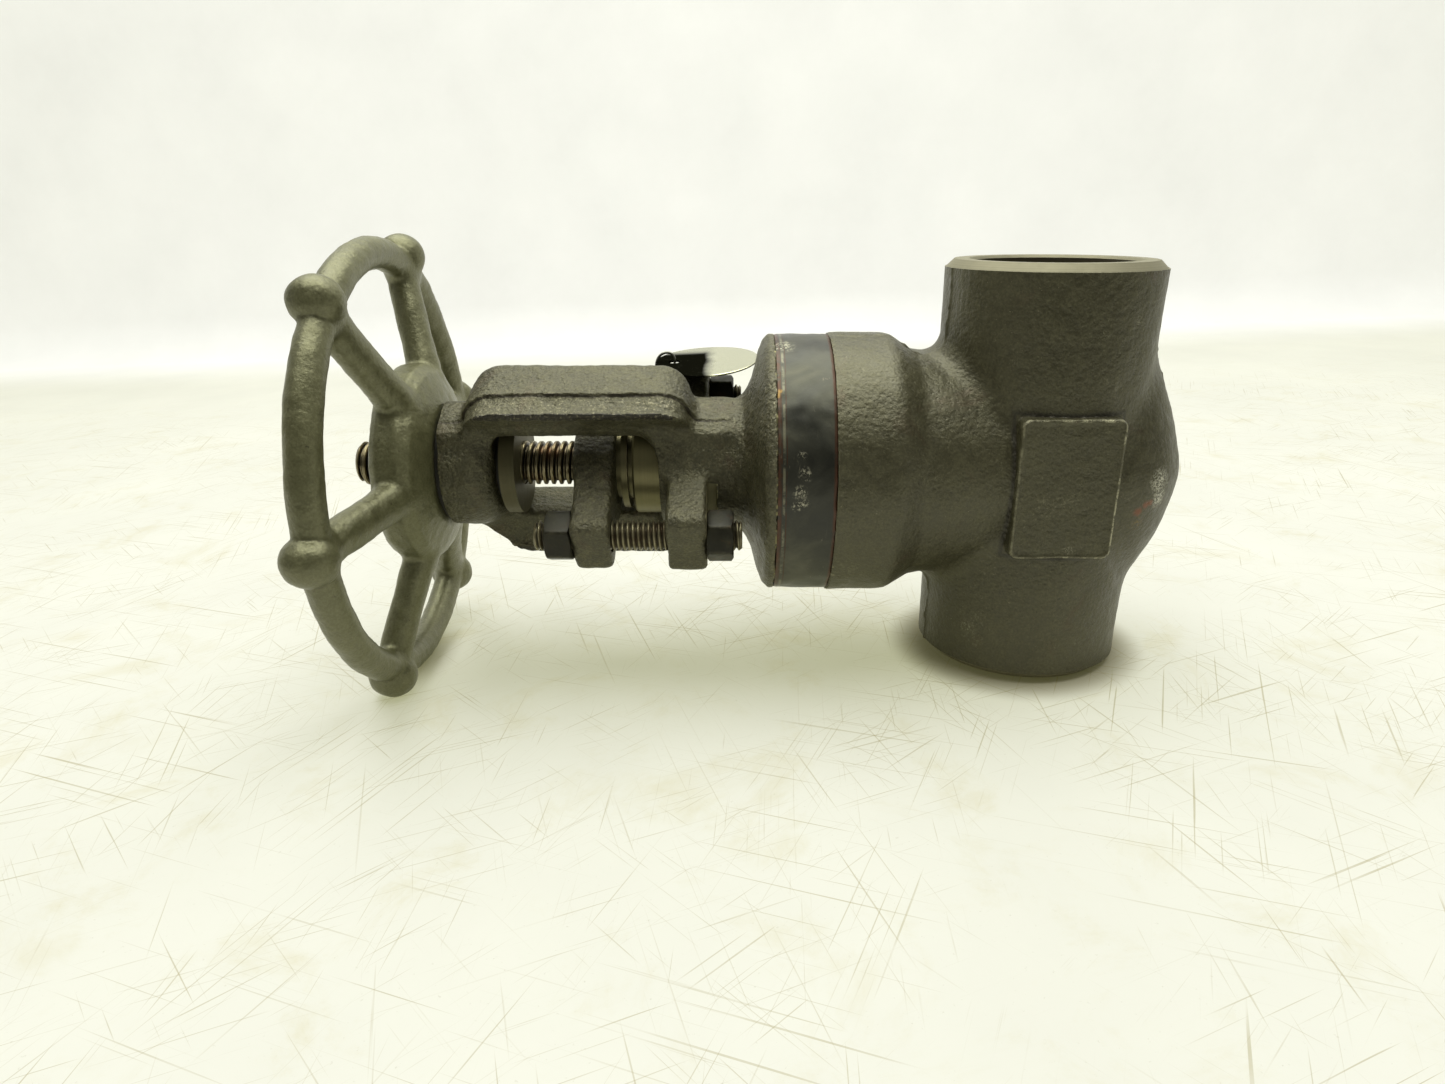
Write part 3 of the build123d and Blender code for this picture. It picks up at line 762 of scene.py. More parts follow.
def build_body():
    g = lambda x, y, z: body_field(x, y, z, True)
    ax = axis(-74.0, 47.5, 1.05)
    ay = axis(-44.5, 44.5, 1.05, [(-35.2, -31.4, 0.5), (PARTING_Y - 1.8, PARTING_Y + 1.8, 0.36)])
    az = axis(-3.0, 130.0, 1.05)
    f = lambda x, y, z: np.maximum(body_field(x, y, z), np.maximum(-1.9 - z, z - 128.9))

    def gg(x, y, z):
        return np.maximum(g(x, y, z), np.maximum(-1.9 - z, z - 128.9))
    P, Q = nets(f, gg, ax, ay, az)
    ob = mesh_obj("body_forging", P, Q)
    # machined ends and joint face
    env = [(0, 0), (29.6, 0), (31.9, 2.3), (90, 2.3), (90, L - 2.3), (31.9, L - 2.3), (29.6, L), (0, L)]
    cut = tool(*lathe(env, 160, lathe_z))
    face = tool(*lathe([(0, JOINT_T - 0.02), (110, JOINT_T - 0.02), (110, -60), (0, -60)][::-1], 96, flat))
    bore = [(0, -2), (25.2, -2), (25.2, 0.0), (24.4, 0.8), (24.4, 13.0), (15.0, 13.0), (15.0, L - 13.0),
            (24.4, L - 13.0), (24.4, L - 0.8), (25.2, L), (25.2, L + 2), (0, L + 2)]
    pas = tool(*lathe(bore, 160, lathe_z))
    seat = tool(*lathe([(0, Z0 - 17), (20.0, Z0 - 17), (20.0, Z0 + 17), (0, Z0 + 17)], 128, lathe_z))
    reg = tool(*lathe([(0, 60.0), (25.2, 60.0), (25.2, 80.0), (0, 80.0)], 128, flat))
    bx = np.array([(x, y, z) for x in (-21.5, 21.5) for y in (-12.5, 12.5) for z in (-22.0, 70.0)], float)
    bf = [(0, 1, 3, 2), (4, 6, 7, 5), (0, 4, 5, 1), (2, 3, 7, 6), (0, 2, 6, 4), (1, 5, 7, 3)]
    pocket = tool(flat(bx), bf)
    boolean(ob, [("INTERSECT", cut), ("INTERSECT", face), ("DIFFERENCE", pas), ("DIFFERENCE", seat),
                 ("DIFFERENCE", reg), ("DIFFERENCE", pocket)])

    def rule(c, n):
        r = np.hypot(c[:, 0], c[:, 1])
        out = np.zeros(len(c))
        end = (c[:, 2] < 2.32) | (c[:, 2] > L - 2.32)
        out[end] = 1
        rb = np.hypot(c[:, 1], c[:, 2] - Z0)
        inside = (r < 24.6) & (rb < 80) & (c[:, 2] > 0.6) & (c[:, 2] < L - 0.6) & (c[:, 0] > -31)
        out[inside] = 2
        out[(rb < 25.5) & (c[:, 0] < -28) & (c[:, 0] > -67.8)] = 2
        return out
    paint(ob, [M_BODY, M_RIM, M_BORE], rule)
    finish_shading(ob, 38)
    return ob


# ---------------------------------------------------------------- bonnet and yoke
FLARE = rounded([(0, 84.8), (41.1, 84.8), (41.1, 86.6), (39.3, 88.3), (35.2, 89.7), (27.4, 91.8), (22.7, 94.2), (20.3, 98.2),
                 (20.2, 121.0), (0, 121.0)], [0, 0, 1.6, 2.5, 5.0, 6.0, 6.0, 5.0, 0, 0], 4)
OUT = rounded([(-20.1, 100.0), (20.1, 100.0), (20.1, 110.6), (32.7, 110.6), (32.7, 174.6), (26.2, 179.9), (20.0, 181.4), (20.0, 188.5),
               (-20.0, 188.5), (-20.0, 185.4), (-25.0, 181.4), (-32.6, 171.2), (-32.6, 110.6), (-20.1, 110.6)],
              [0, 0, 3.0, 9.5, 12.0, 7.0, 3.0, 0.6, 0.6, 4.0, 8.0, 14.0, 9.3, 3.0], 8)
WIN = rounded([(-18.1, 121.0), (17.7, 121.0), (17.7, 172.9), (-18.1, 172.9)], [6.0, 6.0, 3.2, 5.0], 6)


def yoke_field(s, a, t, fine=False):
    r = np.hypot(s, a)
    flare = poly_sdf(r, t, FLARE)
    hub = np.maximum(r_inter(r - 20.0, 172.0 - t, 9.0), t - 188.8)
    aa = np.abs(a)
    lean = 0.5
    hw = 6.6 + 4.5 * np.clip((aa - 18.3) / 11.0, 0, 1.25)
    side = (np.abs(s) - hw) * 0.90
    crown = np.where(s > FLASH_S, 0.085 * (s - FLASH_S), 0.02 * (FLASH_S - s)) * np.clip(aa / 32.4, 0, 1) ** 4
    plan = poly_sdf(a, t, OUT) + crown
    arms = r_inter(plan, side, np.where(s > 0, 0.9, 2.6))
    win = poly_sdf(a, t, WIN)
    body = r_union(hub, arms, 5.2)
    neck = r_union(flare, body, 7.0)
    body = r_inter(neck, -win, 1.3)
    # lugs
    px, pa = np.abs(s) - 36.9 + 3.4, aa - 11.7 + 3.4
    lp = np.hypot(np.maximum(px, 0), np.maximum(pa, 0)) + np.minimum(np.maximum(px, pa), 0) - 3.4
    lug = r_inter(lp, np.abs(t - 111.8) - 6.1, 1.6)
    lug = np.maximum(lug, -(r - 14.0))
    body = r_union(body, lug, 2.6)
    if fine:
        x, y, z = s, a, t
        body = body + 0.09 * W_BIG(x, y, z) + 0.05 * W_MID(x, y, z) + 0.03 * W_FINE(x, y, z)
        sl = s - FLASH_S - 0.10 * W_MID(a, t, t) - 0.16 * W_JAG(a, 0 * s, t)
        out = smooth(aa, 16.5, 20.0) * smooth(t, 95.5, 99.0)
        body = body - 0.50 * np.exp(-((sl + 0.5) / 0.6) ** 2) * out * np.clip(0.8 + 0.3 * W_JAG(a, 0 * s, t), 0.2, 1.3)
        body = body + 0.55 * smooth(sl, -0.1, 0.35) * smooth(s, 11.6, 9.0) * smooth(aa, 20.5, 24.0) * smooth(t, 96.0, 101.0)
        edge = np.exp(-((s - 11.4) / 0.55) ** 2) * smooth(aa, 27.5, 30.0) * smooth(t, 108, 116) * smooth(t, 183, 176)
        body = body - 0.50 * edge * np.clip(0.65 + 0.45 * W_JAG(t, a, s), 0.1, 1.4)
        # a small forging dimple on the front of the yoke hub
        body = body - 0.8 * np.exp(-((s - 17.8) ** 2 + (a - 9.2) ** 2 + (t - 180.6) ** 2) / 2.6)
    return body


def build_bonnet():
    axs = axis(-43.5, 43.5, 0.95, [(FLASH_S - 1.6, FLASH_S + 1.6, 0.34), (10.4, 12.6, 0.45)])
    axa = axis(-43.5, 43.5, 0.95, [(-33.4, -30.6, 0.5), (30.6, 33.6, 0.5)])
    axt = axis(82.0, 191.0, 0.95)
    f = lambda s, a, t: np.maximum(yoke_field(s, a, t), 83.4 - t)
    g = lambda s, a, t: np.maximum(yoke_field(s, a, t, True), 83.4 - t)
    P, Q = nets(f, g, axs, axa, axt)
    ob = mesh_obj("bonnet_forging", yoke(P), Q)
    # machined: joint, spigot, stuffing box boss, bores and hub faces
    spots = []
    trim = tool(*lathe([(0, 84.82), (70, 84.82), (70, 188.8), (0, 188.8)], 128, flat))
    boss = tool(*lathe([(0, 118.0), (16.4, 118.0), (16.4, 128.7), (15.8, 129.3), (0, 129.3)], 128, flat))
    spig = tool(*lathe([(0, 66.0), (24.4, 66.0), (25.0, 66.6), (25.0, 67.9), (31.0, 67.9), (31.0, 86.0), (0, 86.0)], 128, flat))
    box = tool(*lathe([(0, 60), (12.5, 60), (12.5, 79.0), (STEM_R + 0.12, 79.0), (STEM_R + 0.12, 94.0), (11.9, 94.0),
                       (11.9, 128.5), (12.7, 129.3), (12.7, 135.0), (0, 135.0)], 128, flat))
    hubb = tool(*lathe([(0, 160.0), (10.6, 160.0), (10.6, 195.0), (0, 195.0)], 128, flat))
    for sx in (-1, 1):
        spots.append(("DIFFERENCE", tool(*lathe([(0, 102.7), (15.6, 102.7), (16.0, 103.1), (16.0, 105.72), (0, 105.72)], 96, yoke, sx * STUD_C))))
    spots.append(("DIFFERENCE", tool(*lathe([(0, 160.0), (12.5, 160.0), (12.5, 174.4), (0, 174.4)], 96, flat))))
    steps = spots + [("INTERSECT", trim), ("UNION", boss), ("UNION", spig), ("DIFFERENCE", box), ("DIFFERENCE", hubb)]
    for sx in (-1, 1):
        steps.append(("DIFFERENCE", tool(*lathe([(0, 100.0), (STUD_R + 0.3, 100.0), (STUD_R + 0.3, 121.0), (0, 121.0)], 64, yoke, sx * STUD_C))))
    boolean(ob, steps)

    def rule(c, n):
        rb = np.hypot(c[:, 1], c[:, 2] - Z0)
        t = -c[:, 0]
        out = np.zeros(len(c))
        out[(t > 118.5) & (t < 129.5) & (rb < 16.6)] = 1
        out[(t > 119.8) & (t < 122.2) & (rb > 16.45)] = 0
        out[(t < 85.0)] = 1
        out[(rb < 12.75)] = 1
        out[(t > 188.6)] = 1
        zc = c[:, 2] - Z0
        for sx in (-1, 1):
            ds = np.hypot(c[:, 1] + sx * STUD_C * CP, zc + sx * STUD_C * SP)
            out[(ds < 16.02) & (t > 102.6) & (t < 105.8)] = 2
        return out
    paint(ob, [M_BONNET, M_BOSS, M_SPOT], rule)
    finish_shading(ob, 38)
    return ob


# ---------------------------------------------------------------- handwheel
HUB = rounded([(0, 190.35), (20.4, 190.35), (25.6, 192.4), (29.6, 194.3), (32.0, 197.4), (32.0, 203.6), (30.2, 206.0), (27.0, 207.2),
               (0, 207.2)], [0, 1.0, 3.0, 2.0, 1.0, 1.8, 1.6, 2.0, 0], 4)


def wheel_field(x, y, t, fine=False):
    r = np.hypot(x, y)
    hub = poly_sdf(r, t, HUB)
    th = np.degrees(np.arctan2(y, x))
    dip = lambda c: np.exp(-(((th - c + 180) % 360 - 180) / 27.0) ** 2)
    rim = np.sqrt((r - RIM_R + 2.9 * dip(143.0) + 0.8 * dip(-157.0)) ** 2 + (t - WHEEL_T + 0.25) ** 2) - RIM_S
    ang = np.radians(th - KNOB_A)
    ang = (ang + math.pi / 6) % (math.pi / 3) - math.pi / 6
    u, v = r * np.cos(ang), r * np.sin(ang)
    # spoke: elliptic section along a bent centre line
    tc = np.interp(u, [20, 33, 45, 57, 66, 72], [198.4, 200.5, 203.8, 206.9, 208.6, 208.6])
    grow = 1.0 + 0.10 * smooth(48.0 - u, 6.0, 20.0)
    q = np.sqrt((v / (5.8 * grow)) ** 2 + ((t - tc) / (5.15 * grow)) ** 2)
    spoke = (q - 1.0) * 5.0
    spoke = np.maximum(spoke, np.maximum(20.0 - u, u - 64.5))
    knob = np.sqrt(((u - KNOB_C) / 7.45) ** 2 + (v / 7.15) ** 2 + ((t - WHEEL_T) / 7.7) ** 2)
    knob = (knob - 1.0) * 7.4
    d = r_union(hub, spoke, 1.4)
    d = r_union(d, rim, 2.4)
    d = r_union(d, knob, 0.55)
    if fine:
        d = d + 0.07 * W_BIG(x, y, t) + 0.045 * W_MID(x, y, t) + 0.02 * W_FINE(x, y, t)
        # casting parting line round the rim's plane
        d = d - 0.16 * np.exp(-((t - WHEEL_T - 0.2) / 0.5) ** 2) * smooth(r, 60.0, 66.0) * np.clip(0.5 + 0.5 * W_MID(y, x, t), 0, 1)
    return d


def build_wheel():
    ax = axis(-78.0, 78.0, 1.0)
    at = axis(188.5, 218.0, 0.8)
    g = lambda x, y, t: wheel_field(x, y, t, True)
    P, Q = nets(wheel_field, g, ax, ax, at)
    ob = mesh_obj("wheel_casting", flat(P), Q)
    # bore with two flats that drive the yoke nut
    th = np.linspace(0, 2 * np.pi, 96, endpoint=False)
    px, py = 10.52 * np.cos(th), 10.52 * np.sin(th)
    px = np.clip(px, -9.32, 9.32)
    V = np.concatenate([np.column_stack((px, py, np.full(96, tt))) for tt in (185.0, 215.0)])
    F = [tuple(range(95, -1, -1)), tuple(range(96, 192))] + [(i, (i + 1) % 96, 96 + (i + 1) % 96, 96 + i) for i in range(96)]
    face = tool(*lathe([(0, 190.35), (90, 190.35), (90, 230.0), (0, 230.0)], 96, flat))
    boolean(ob, [("INTERSECT", face), ("DIFFERENCE", tool(flat(V), F))])

    def rule(c, n):
        rb = np.hypot(c[:, 1], c[:, 2] - Z0)
        out = np.zeros(len(c))
        out[(rb < 10.7)] = 1
        return out
    paint(ob, [M_WHEEL, M_BOSS], rule)
    finish_shading(ob, 40)
    return ob


# ---------------------------------------------------------------- gland flange
def gland_field(s, a, t, fine=False):
    plan = poly_sdf(s, a, GL)
    hi = 148.0 - 1.4 * smooth(np.abs(s), 7.0, 24.0)
    d = r_inter(plan, np.maximum(134.8 - t, t - hi), 1.9)
    if fine:
        d = d + 0.06 * W_BIG(s, a, t) + 0.05 * W_MID(s, a, t) + 0.03 * W_FINE(s, a, t)
    return d


GL = rounded([(-37.2, -10.2), (-20.0, -10.2), (-9.0, -13.6), (9.0, -13.6), (20.0, -10.2), (37.5, -10.2), (37.5, 10.2),
              (20.0, 10.2), (9.0, 13.6), (-9.0, 13.6), (-20.0, 10.2), (-37.2, 10.2)],
             [3.0, 8, 8, 8, 8, 3.0, 3.0, 8, 8, 8, 8, 3.0], 5)


def build_gland():
    f = gland_field
    g = lambda s, a, t: gland_field(s, a, t, True)
    P, Q = nets(f, g, axis(-39.2, 39.2, 0.8), axis(-15.5, 15.5, 0.8), axis(133.2, 149.6, 0.7))
    ob = mesh_obj("gland_forged_flange", yoke(P), Q)
    steps = [("INTERSECT", tool(*lathe([(0, 134.8), (60, 134.8), (60, 148.2), (0, 148.2)], 96, flat))),
             ("DIFFERENCE", tool(*lathe([(0, 130.0), (STEM_R + 0.6, 130.0), (STEM_R + 0.6, 150.0), (0, 150.0)], 96, flat)))]
    for sx in (-1, 1):
        steps.append(("DIFFERENCE", tool(*lathe([(0, 130.0), (STUD_R + 0.45, 130.0), (STUD_R + 0.45, 150.0), (0, 150.0)], 64, yoke, sx * STUD_C))))
    boolean(ob, steps)
    paint(ob, [M_GLAND], lambda c, n: np.zeros(len(c)))
    finish_shading(ob, 38)
    return ob


# ---------------------------------------------------------------- threads
def threaded(prof, n, pitch, depth, t_a, t_b, hand, place, cx=0.0, root_flat=0.30, crest_flat=0.32, step=0.16, fade=1.2):
    """Turned bar from (r, t) points with a helical thread between t_a and t_b. hand is +1 right, -1 left."""
    ts = [prof[0][1]]
    rows = [(prof[0][0], prof[0][1], False)]
    out = []
    for k in range(len(prof) - 1):
        (r0, t0), (r1, t1) = prof[k], prof[k + 1]
        out.append((r0, t0))
        if t1 - t0 > step * 1.5 and r0 > 1e-6 and r1 > 1e-6:
            m = int(math.ceil((t1 - t0) / step))
            for i in range(1, m):
                out.append((r0 + (r1 - r0) * i / m, t0 + (t1 - t0) * i / m))
    out.append(prof[-1])
    # thin out the plain stretch
    keep = []
    for r, t in out:
        if t < t_a - 1.0 and keep and keep[-1][1] < t and abs(keep[-1][0] - r) < 1e-9 and t - keep[-1][1] < 2.0 and (r, t) not in prof:
            continue
        keep.append((r, t))
    th = np.arange(n) * 2 * np.pi / n

    def radial(r, t, th):
        if not (t_a - 0.01 <= t <= t_b + 0.01):
            return np.full(n, r)
        ph = (t / pitch - hand * th / (2 * np.pi)) % 1.0
        w = np.abs(ph - 0.5) * 2            # 0 crest centre, 1 root centre
        g = np.clip((w - crest_flat) / (1 - crest_flat - root_flat), 0, 1)
        f = float(np.clip((t - t_a) / fade, 0, 1) * np.clip((t_b - t) / 0.3 + 0.4, 0, 1))
        return np.minimum(r, np.full(n, STEM_R + 9)) - depth * g * f * (1 if r > depth + 1 else 0)
    return lathe(keep, n, place, cx, 0.0, radial)


def build_stem():
    prof = [(0, 20.5), (7.6, 20.5), (8.0, 20.9), (8.0, 25.5), (5.5, 25.5), (5.5, 31.0), (9.4, 31.0), (9.4, 33.0),
            (STEM_R, 35.3), (STEM_R, TIP - 1.3), (STEM_R - 1.2, TIP), (0, TIP)]
    P, F = threaded(prof, 64, PITCH, 1.25, 143.0, TIP - 0.05, -1, flat)
    ob = recalc(mesh_obj("stem_threaded", P, F))
    ob.data.materials.append(M_STEM)
    finish_shading(ob, 45)
    return ob


def build_studs():
    parts = []
    for sx in (1, -1):
        prof = [(0, 94.9), (STUD_R - 0.8, 94.9), (STUD_R, 95.7), (STUD_R, 157.6), (STUD_R - 0.8, 158.4), (0, 158.4)]
        P, F = threaded(prof, 40, PITCH_S, 0.86, 95.3, 158.0, 1, yoke, sx * STUD_C, 0.12, 0.14, 0.13, 0.6)
        parts.append((P, F))
    P = np.concatenate([p for p, _ in parts])
    off = len(parts[0][0])
    F = list(parts[0][1]) + [tuple(i + off for i in f) for f in parts[1][1]]
    ob = recalc(mesh_obj("gland_stud_pair", P, F))
    ob.data.materials.append(M_STUD)
    finish_shading(ob, 50)
    return ob


# ---------------------------------------------------------------- nuts
def nut_mesh(af, t0, t1, bore, rot, cx, place, cham=30.0, m=20):
    """Hex nut: turned chamfers with their curved edges, bored and countersunk."""
    n = 6 * m
    th = np.arange(n) * 2 * np.pi / n
    rc = af / math.sqrt(3.0)
    loc = (th + math.pi / 6) % (math.pi / 3) - math.pi / 6
    loc = (th % (math.pi / 3)) - math.pi / 6
    rh = np.minimum((af / 2) / np.cos(loc), rc * 0.978)
    r0 = af / 2 * 0.96
    drop = np.maximum(rh - r0, 0) * math.tan(math.radians(cham))
    rings = []
    rings.append((np.full(n, bore), np.full(n, t0 + 0.5)))
    rings.append((np.full(n, bore + 0.5), np.full(n, t0)))
    rings.append((np.full(n, r0 - 0.25), np.full(n, t0)))
    rings.append((np.minimum(np.full(n, r0), rh), np.full(n, t0 + 0.04)))
    rings.append((rh - 0.06, t0 + drop + 0.02))
    rings.append((rh, t0 + drop + 0.14))
    rings.append((rh, t1 - drop - 0.14))
    rings.append((rh - 0.06, t1 - drop - 0.02))
    rings.append((np.minimum(np.full(n, r0), rh), np.full(n, t1 - 0.04)))
    rings.append((np.full(n, r0 - 0.25), np.full(n, t1)))
    rings.append((np.full(n, bore + 0.5), np.full(n, t1)))
    rings.append((np.full(n, bore), np.full(n, t1 - 0.5)))
    a = th + math.radians(rot)
    V = np.concatenate([np.column_stack((cx + r * np.cos(a), r * np.sin(a), t)) for r, t in rings])
    F = []
    K = len(rings)
    for k in range(K):
        b0, b1 = k * n, ((k + 1) % K) * n
        for i in range(n):
            j = (i + 1) % n
            F.append((b0 + i, b0 + j, b1 + j, b1 + i))
    return place(V), F


def build_nut(name, specs, mat, angle=28):
    P, F, off = [], [], 0
    for s in specs:
        p, f = nut_mesh(*s)
        P.append(p)
        F += [tuple(i + off for i in q) for q in f]
        off += len(p)
    ob = recalc(mesh_obj(name, np.concatenate(P), F))
    ob.data.materials.append(mat)
    finish_shading(ob, angle)
    return ob


# ---------------------------------------------------------------- tag and wire
def build_tag():
    n, rt, hole_c, hole_r = 128, 17.4, -11.0, 2.0
    th = np.arange(n) * 2 * np.pi / n
    out = np.column_stack((rt * np.cos(th), rt * np.sin(th)))
    hole = np.column_stack((hole_c + hole_r * np.cos(th), hole_r * np.sin(th)))
    rings = []
    for f in (0.0, 0.06, 0.14, 0.25, 0.38, 0.52, 0.66, 0.8, 0.9, 0.96, 0.99):
        rings.append(hole + (out - hole) * f)
    edge = [(1.0, 0.12), (1.0, 0.68)]
    V, nr = [], len(rings)

    def bend(p):
        return 0.28 * ((p[:, 0] / rt) ** 2 - 0.4) - 0.18 * (p[:, 1] / rt) ** 2
    for side in (1, -1):
        seq = rings if side == 1 else rings[::-1]
        if side == -1:
            V.append(np.column_stack((out, bend(out) * 0.9 - 0.22)))
        for p in seq:
            V.append(np.column_stack((p, bend(p) * 0.9 + side * 0.36)))
        if side == 1:
            V.append(np.column_stack((out, bend(out) * 0.9 + 0.22)))
    K = len(V)
    F = [(k * n + i, k * n + (i + 1) % n, ((k + 1) % K) * n + (i + 1) % n, ((k + 1) % K) * n + i) for k in range(K) for i in range(n)]
    P = np.concatenate(V)
    rx, ry = math.radians(7.0), math.radians(-3.0)
    Rx = np.array([[1, 0, 0], [0, math.cos(rx), -math.sin(rx)], [0, math.sin(rx), math.cos(rx)]])
    Ry = np.array([[math.cos(ry), 0, math.sin(ry)], [0, 1, 0], [-math.sin(ry), 0, math.cos(ry)]])
    P = P @ (Rx @ Ry).T + np.array([-106.5, 20.0, Z0 + 30.0])
    ob = recalc(mesh_obj("tag_disc", P, F))
    ob.data.materials.append(M_TAG)
    finish_shading(ob, 40)
    return ob


WIRE = [(-117.3, 20.0, 29.6), (-117.6, 20.0, 31.8), (-119.2, 20.0, 33.0), (-121.6, 20.0, 32.6),
        (-123.3, 20.1, 30.8), (-123.9, 20.4, 28.0), (-124.1, 20.6, 20.0), (-123.6, 20.6, 13.6),
        (-122.8, 24.0, 9.9), (-122.0, 29.2, 9.9), (-121.4, 32.8, 14.0), (-120.8, 31.2, 20.6),
        (-119.7, 25.4, 26.8), (-117.8, 20.6, 28.3)]


def build_wire():
    cu = bpy.data.curves.new("tie_wire", "CURVE")
    cu.dimensions = "3D"
    cu.bevel_depth = 0.46 * MM
    cu.bevel_resolution = 4
    cu.resolution_u = 14
    sp = cu.splines.new("NURBS")
    sp.points.add(len(WIRE) - 1)
    for p, w in zip(sp.points, WIRE):
        p.co = (w[0] * MM, w[1] * MM, (w[2] + Z0) * MM, 1.0)
    sp.order_u = 3
    sp.use_cyclic_u = True
    cu.materials.append(M_WIRE)
    ob = bpy.data.objects.new("tie_wire", cu)
    bpy.context.scene.collection.objects.link(ob)
    return ob


# ---------------------------------------------------------------- weld ring
def build_weld():
    prof = [(31.02, WELD_T0), (41.0, WELD_T0)]
    for i in range(1, 24):
        prof.append((41.1, WELD_T0 + 16.9 * i / 24))
    prof += [(41.0, WELD_T1), (31.02, WELD_T1)]
    w1, w2 = waves(31, 14.0), waves(33, 5.0)

    def radial(r, t, th):
        if r < 40:
            return np.full(len(th), r)
        x, y = 41 * np.cos(th), 41 * np.sin(th)
        tt = np.full(len(th), t)
        edge = min(1.0, min(t - WELD_T0, WELD_T1 - t) / 1.0)
        groove = 0.34 * (math.exp(-((t - WELD_T0) / 0.5) ** 2) + 0.5 * math.exp(-((t - WELD_T1) / 0.5) ** 2))
        return 41.05 - groove + 0.08 * w1(x, y, tt) + 0.04 * w2(x, y, tt) - 0.02 * (1 - edge)
    P, F = lathe(prof, 220, flat, 0, 0, radial)
    ob = recalc(mesh_obj("weld_ring", P, F))
    ob.data.materials.append(M_WELD)
    finish_shading(ob, 40)
    return ob


# ---------------------------------------------------------------- assembly
def piece(ob, body, slot, *nodes):
    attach(ob, body)
    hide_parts(*nodes)


import time
_t = time.time()


def lap(s):
    global _t
    print("LAP", s, round(time.time() - _t, 1))
    _t = time.time()


piece(build_body(), "valve", "forged_body", "valve_body"); lap("body")
piece(build_bonnet(), "valve", "forged_bonnet", "bonnet_yoke"); lap("bonnet")
piece(build_wheel(), "wheel", "wheel_casting", "handwheel"); lap("wheel")
piece(build_gland(), "gland", "gland_forging", "gland_flange"); lap("gland")
piece(build_stem(), "stem_gate", "stem_steel", "stem")
piece(build_studs(), "valve", "black_oxide", "gland_studs")
piece(build_weld(), "valve", "weld_band", "bonnet_weld"); lap("stem studs weld")
NT0 = 146.65
piece(build_nut("hex_nut_front", [(14.29, NT0, NT0 + 8.2, STUD_R + 0.05, -4, STUD_C, yoke)], M_OXIDE), "nut_front", "black_oxide", "gland_nut_front")
piece(build_nut("hex_nut_back", [(14.29, NT0, NT0 + 8.2, STUD_R + 0.05, 17, -STUD_C, yoke)], M_OXIDE), "nut_back", "black_oxide", "gland_nut_back")
piece(build_nut("lug_nut_pair", [(14.29, 97.5, 105.7, STUD_R + 0.02, 8, STUD_C, yoke), (14.29, 97.5, 105.7, STUD_R + 0.02, 23, -STUD_C, yoke)], M_OXIDE), "valve", "black_oxide", "lug_nuts")
piece(build_nut("wheel_locknut", [(27.0, 207.25, 213.1, 10.17, 12, 0.0, flat)], M_OXIDE), "wheel", "black_oxide", "wheel_nut")
piece(build_tag(), "tag", "tag_stainless", "id_tag")
piece(build_wire(), "valve", "wire_stainless", "tag_wire"); lap("small")

CAD_MATS = {
    "seat_ring_inlet": M_TRIM, "seat_ring_outlet": M_TRIM, "gate_wedge": M_TRIM, "backseat_bushing": M_TRIM,
    "gland_follower": M_FOLLOW, "yoke_nut": M_NUTBR, "thrust_washer": M_WASHER, "wheel_washer": M_WASHER,
}
for k in range(1, 6):
    CAD_MATS[f"packing_ring_{k}"] = M_GRAPHITE
for name, m in CAD_MATS.items():
    ob = NODES[name]
    ob.data.materials.clear()
    ob.data.materials.append(m)

# ---------------------------------------------------------------- stage
TILT = math.atan(0.0335)


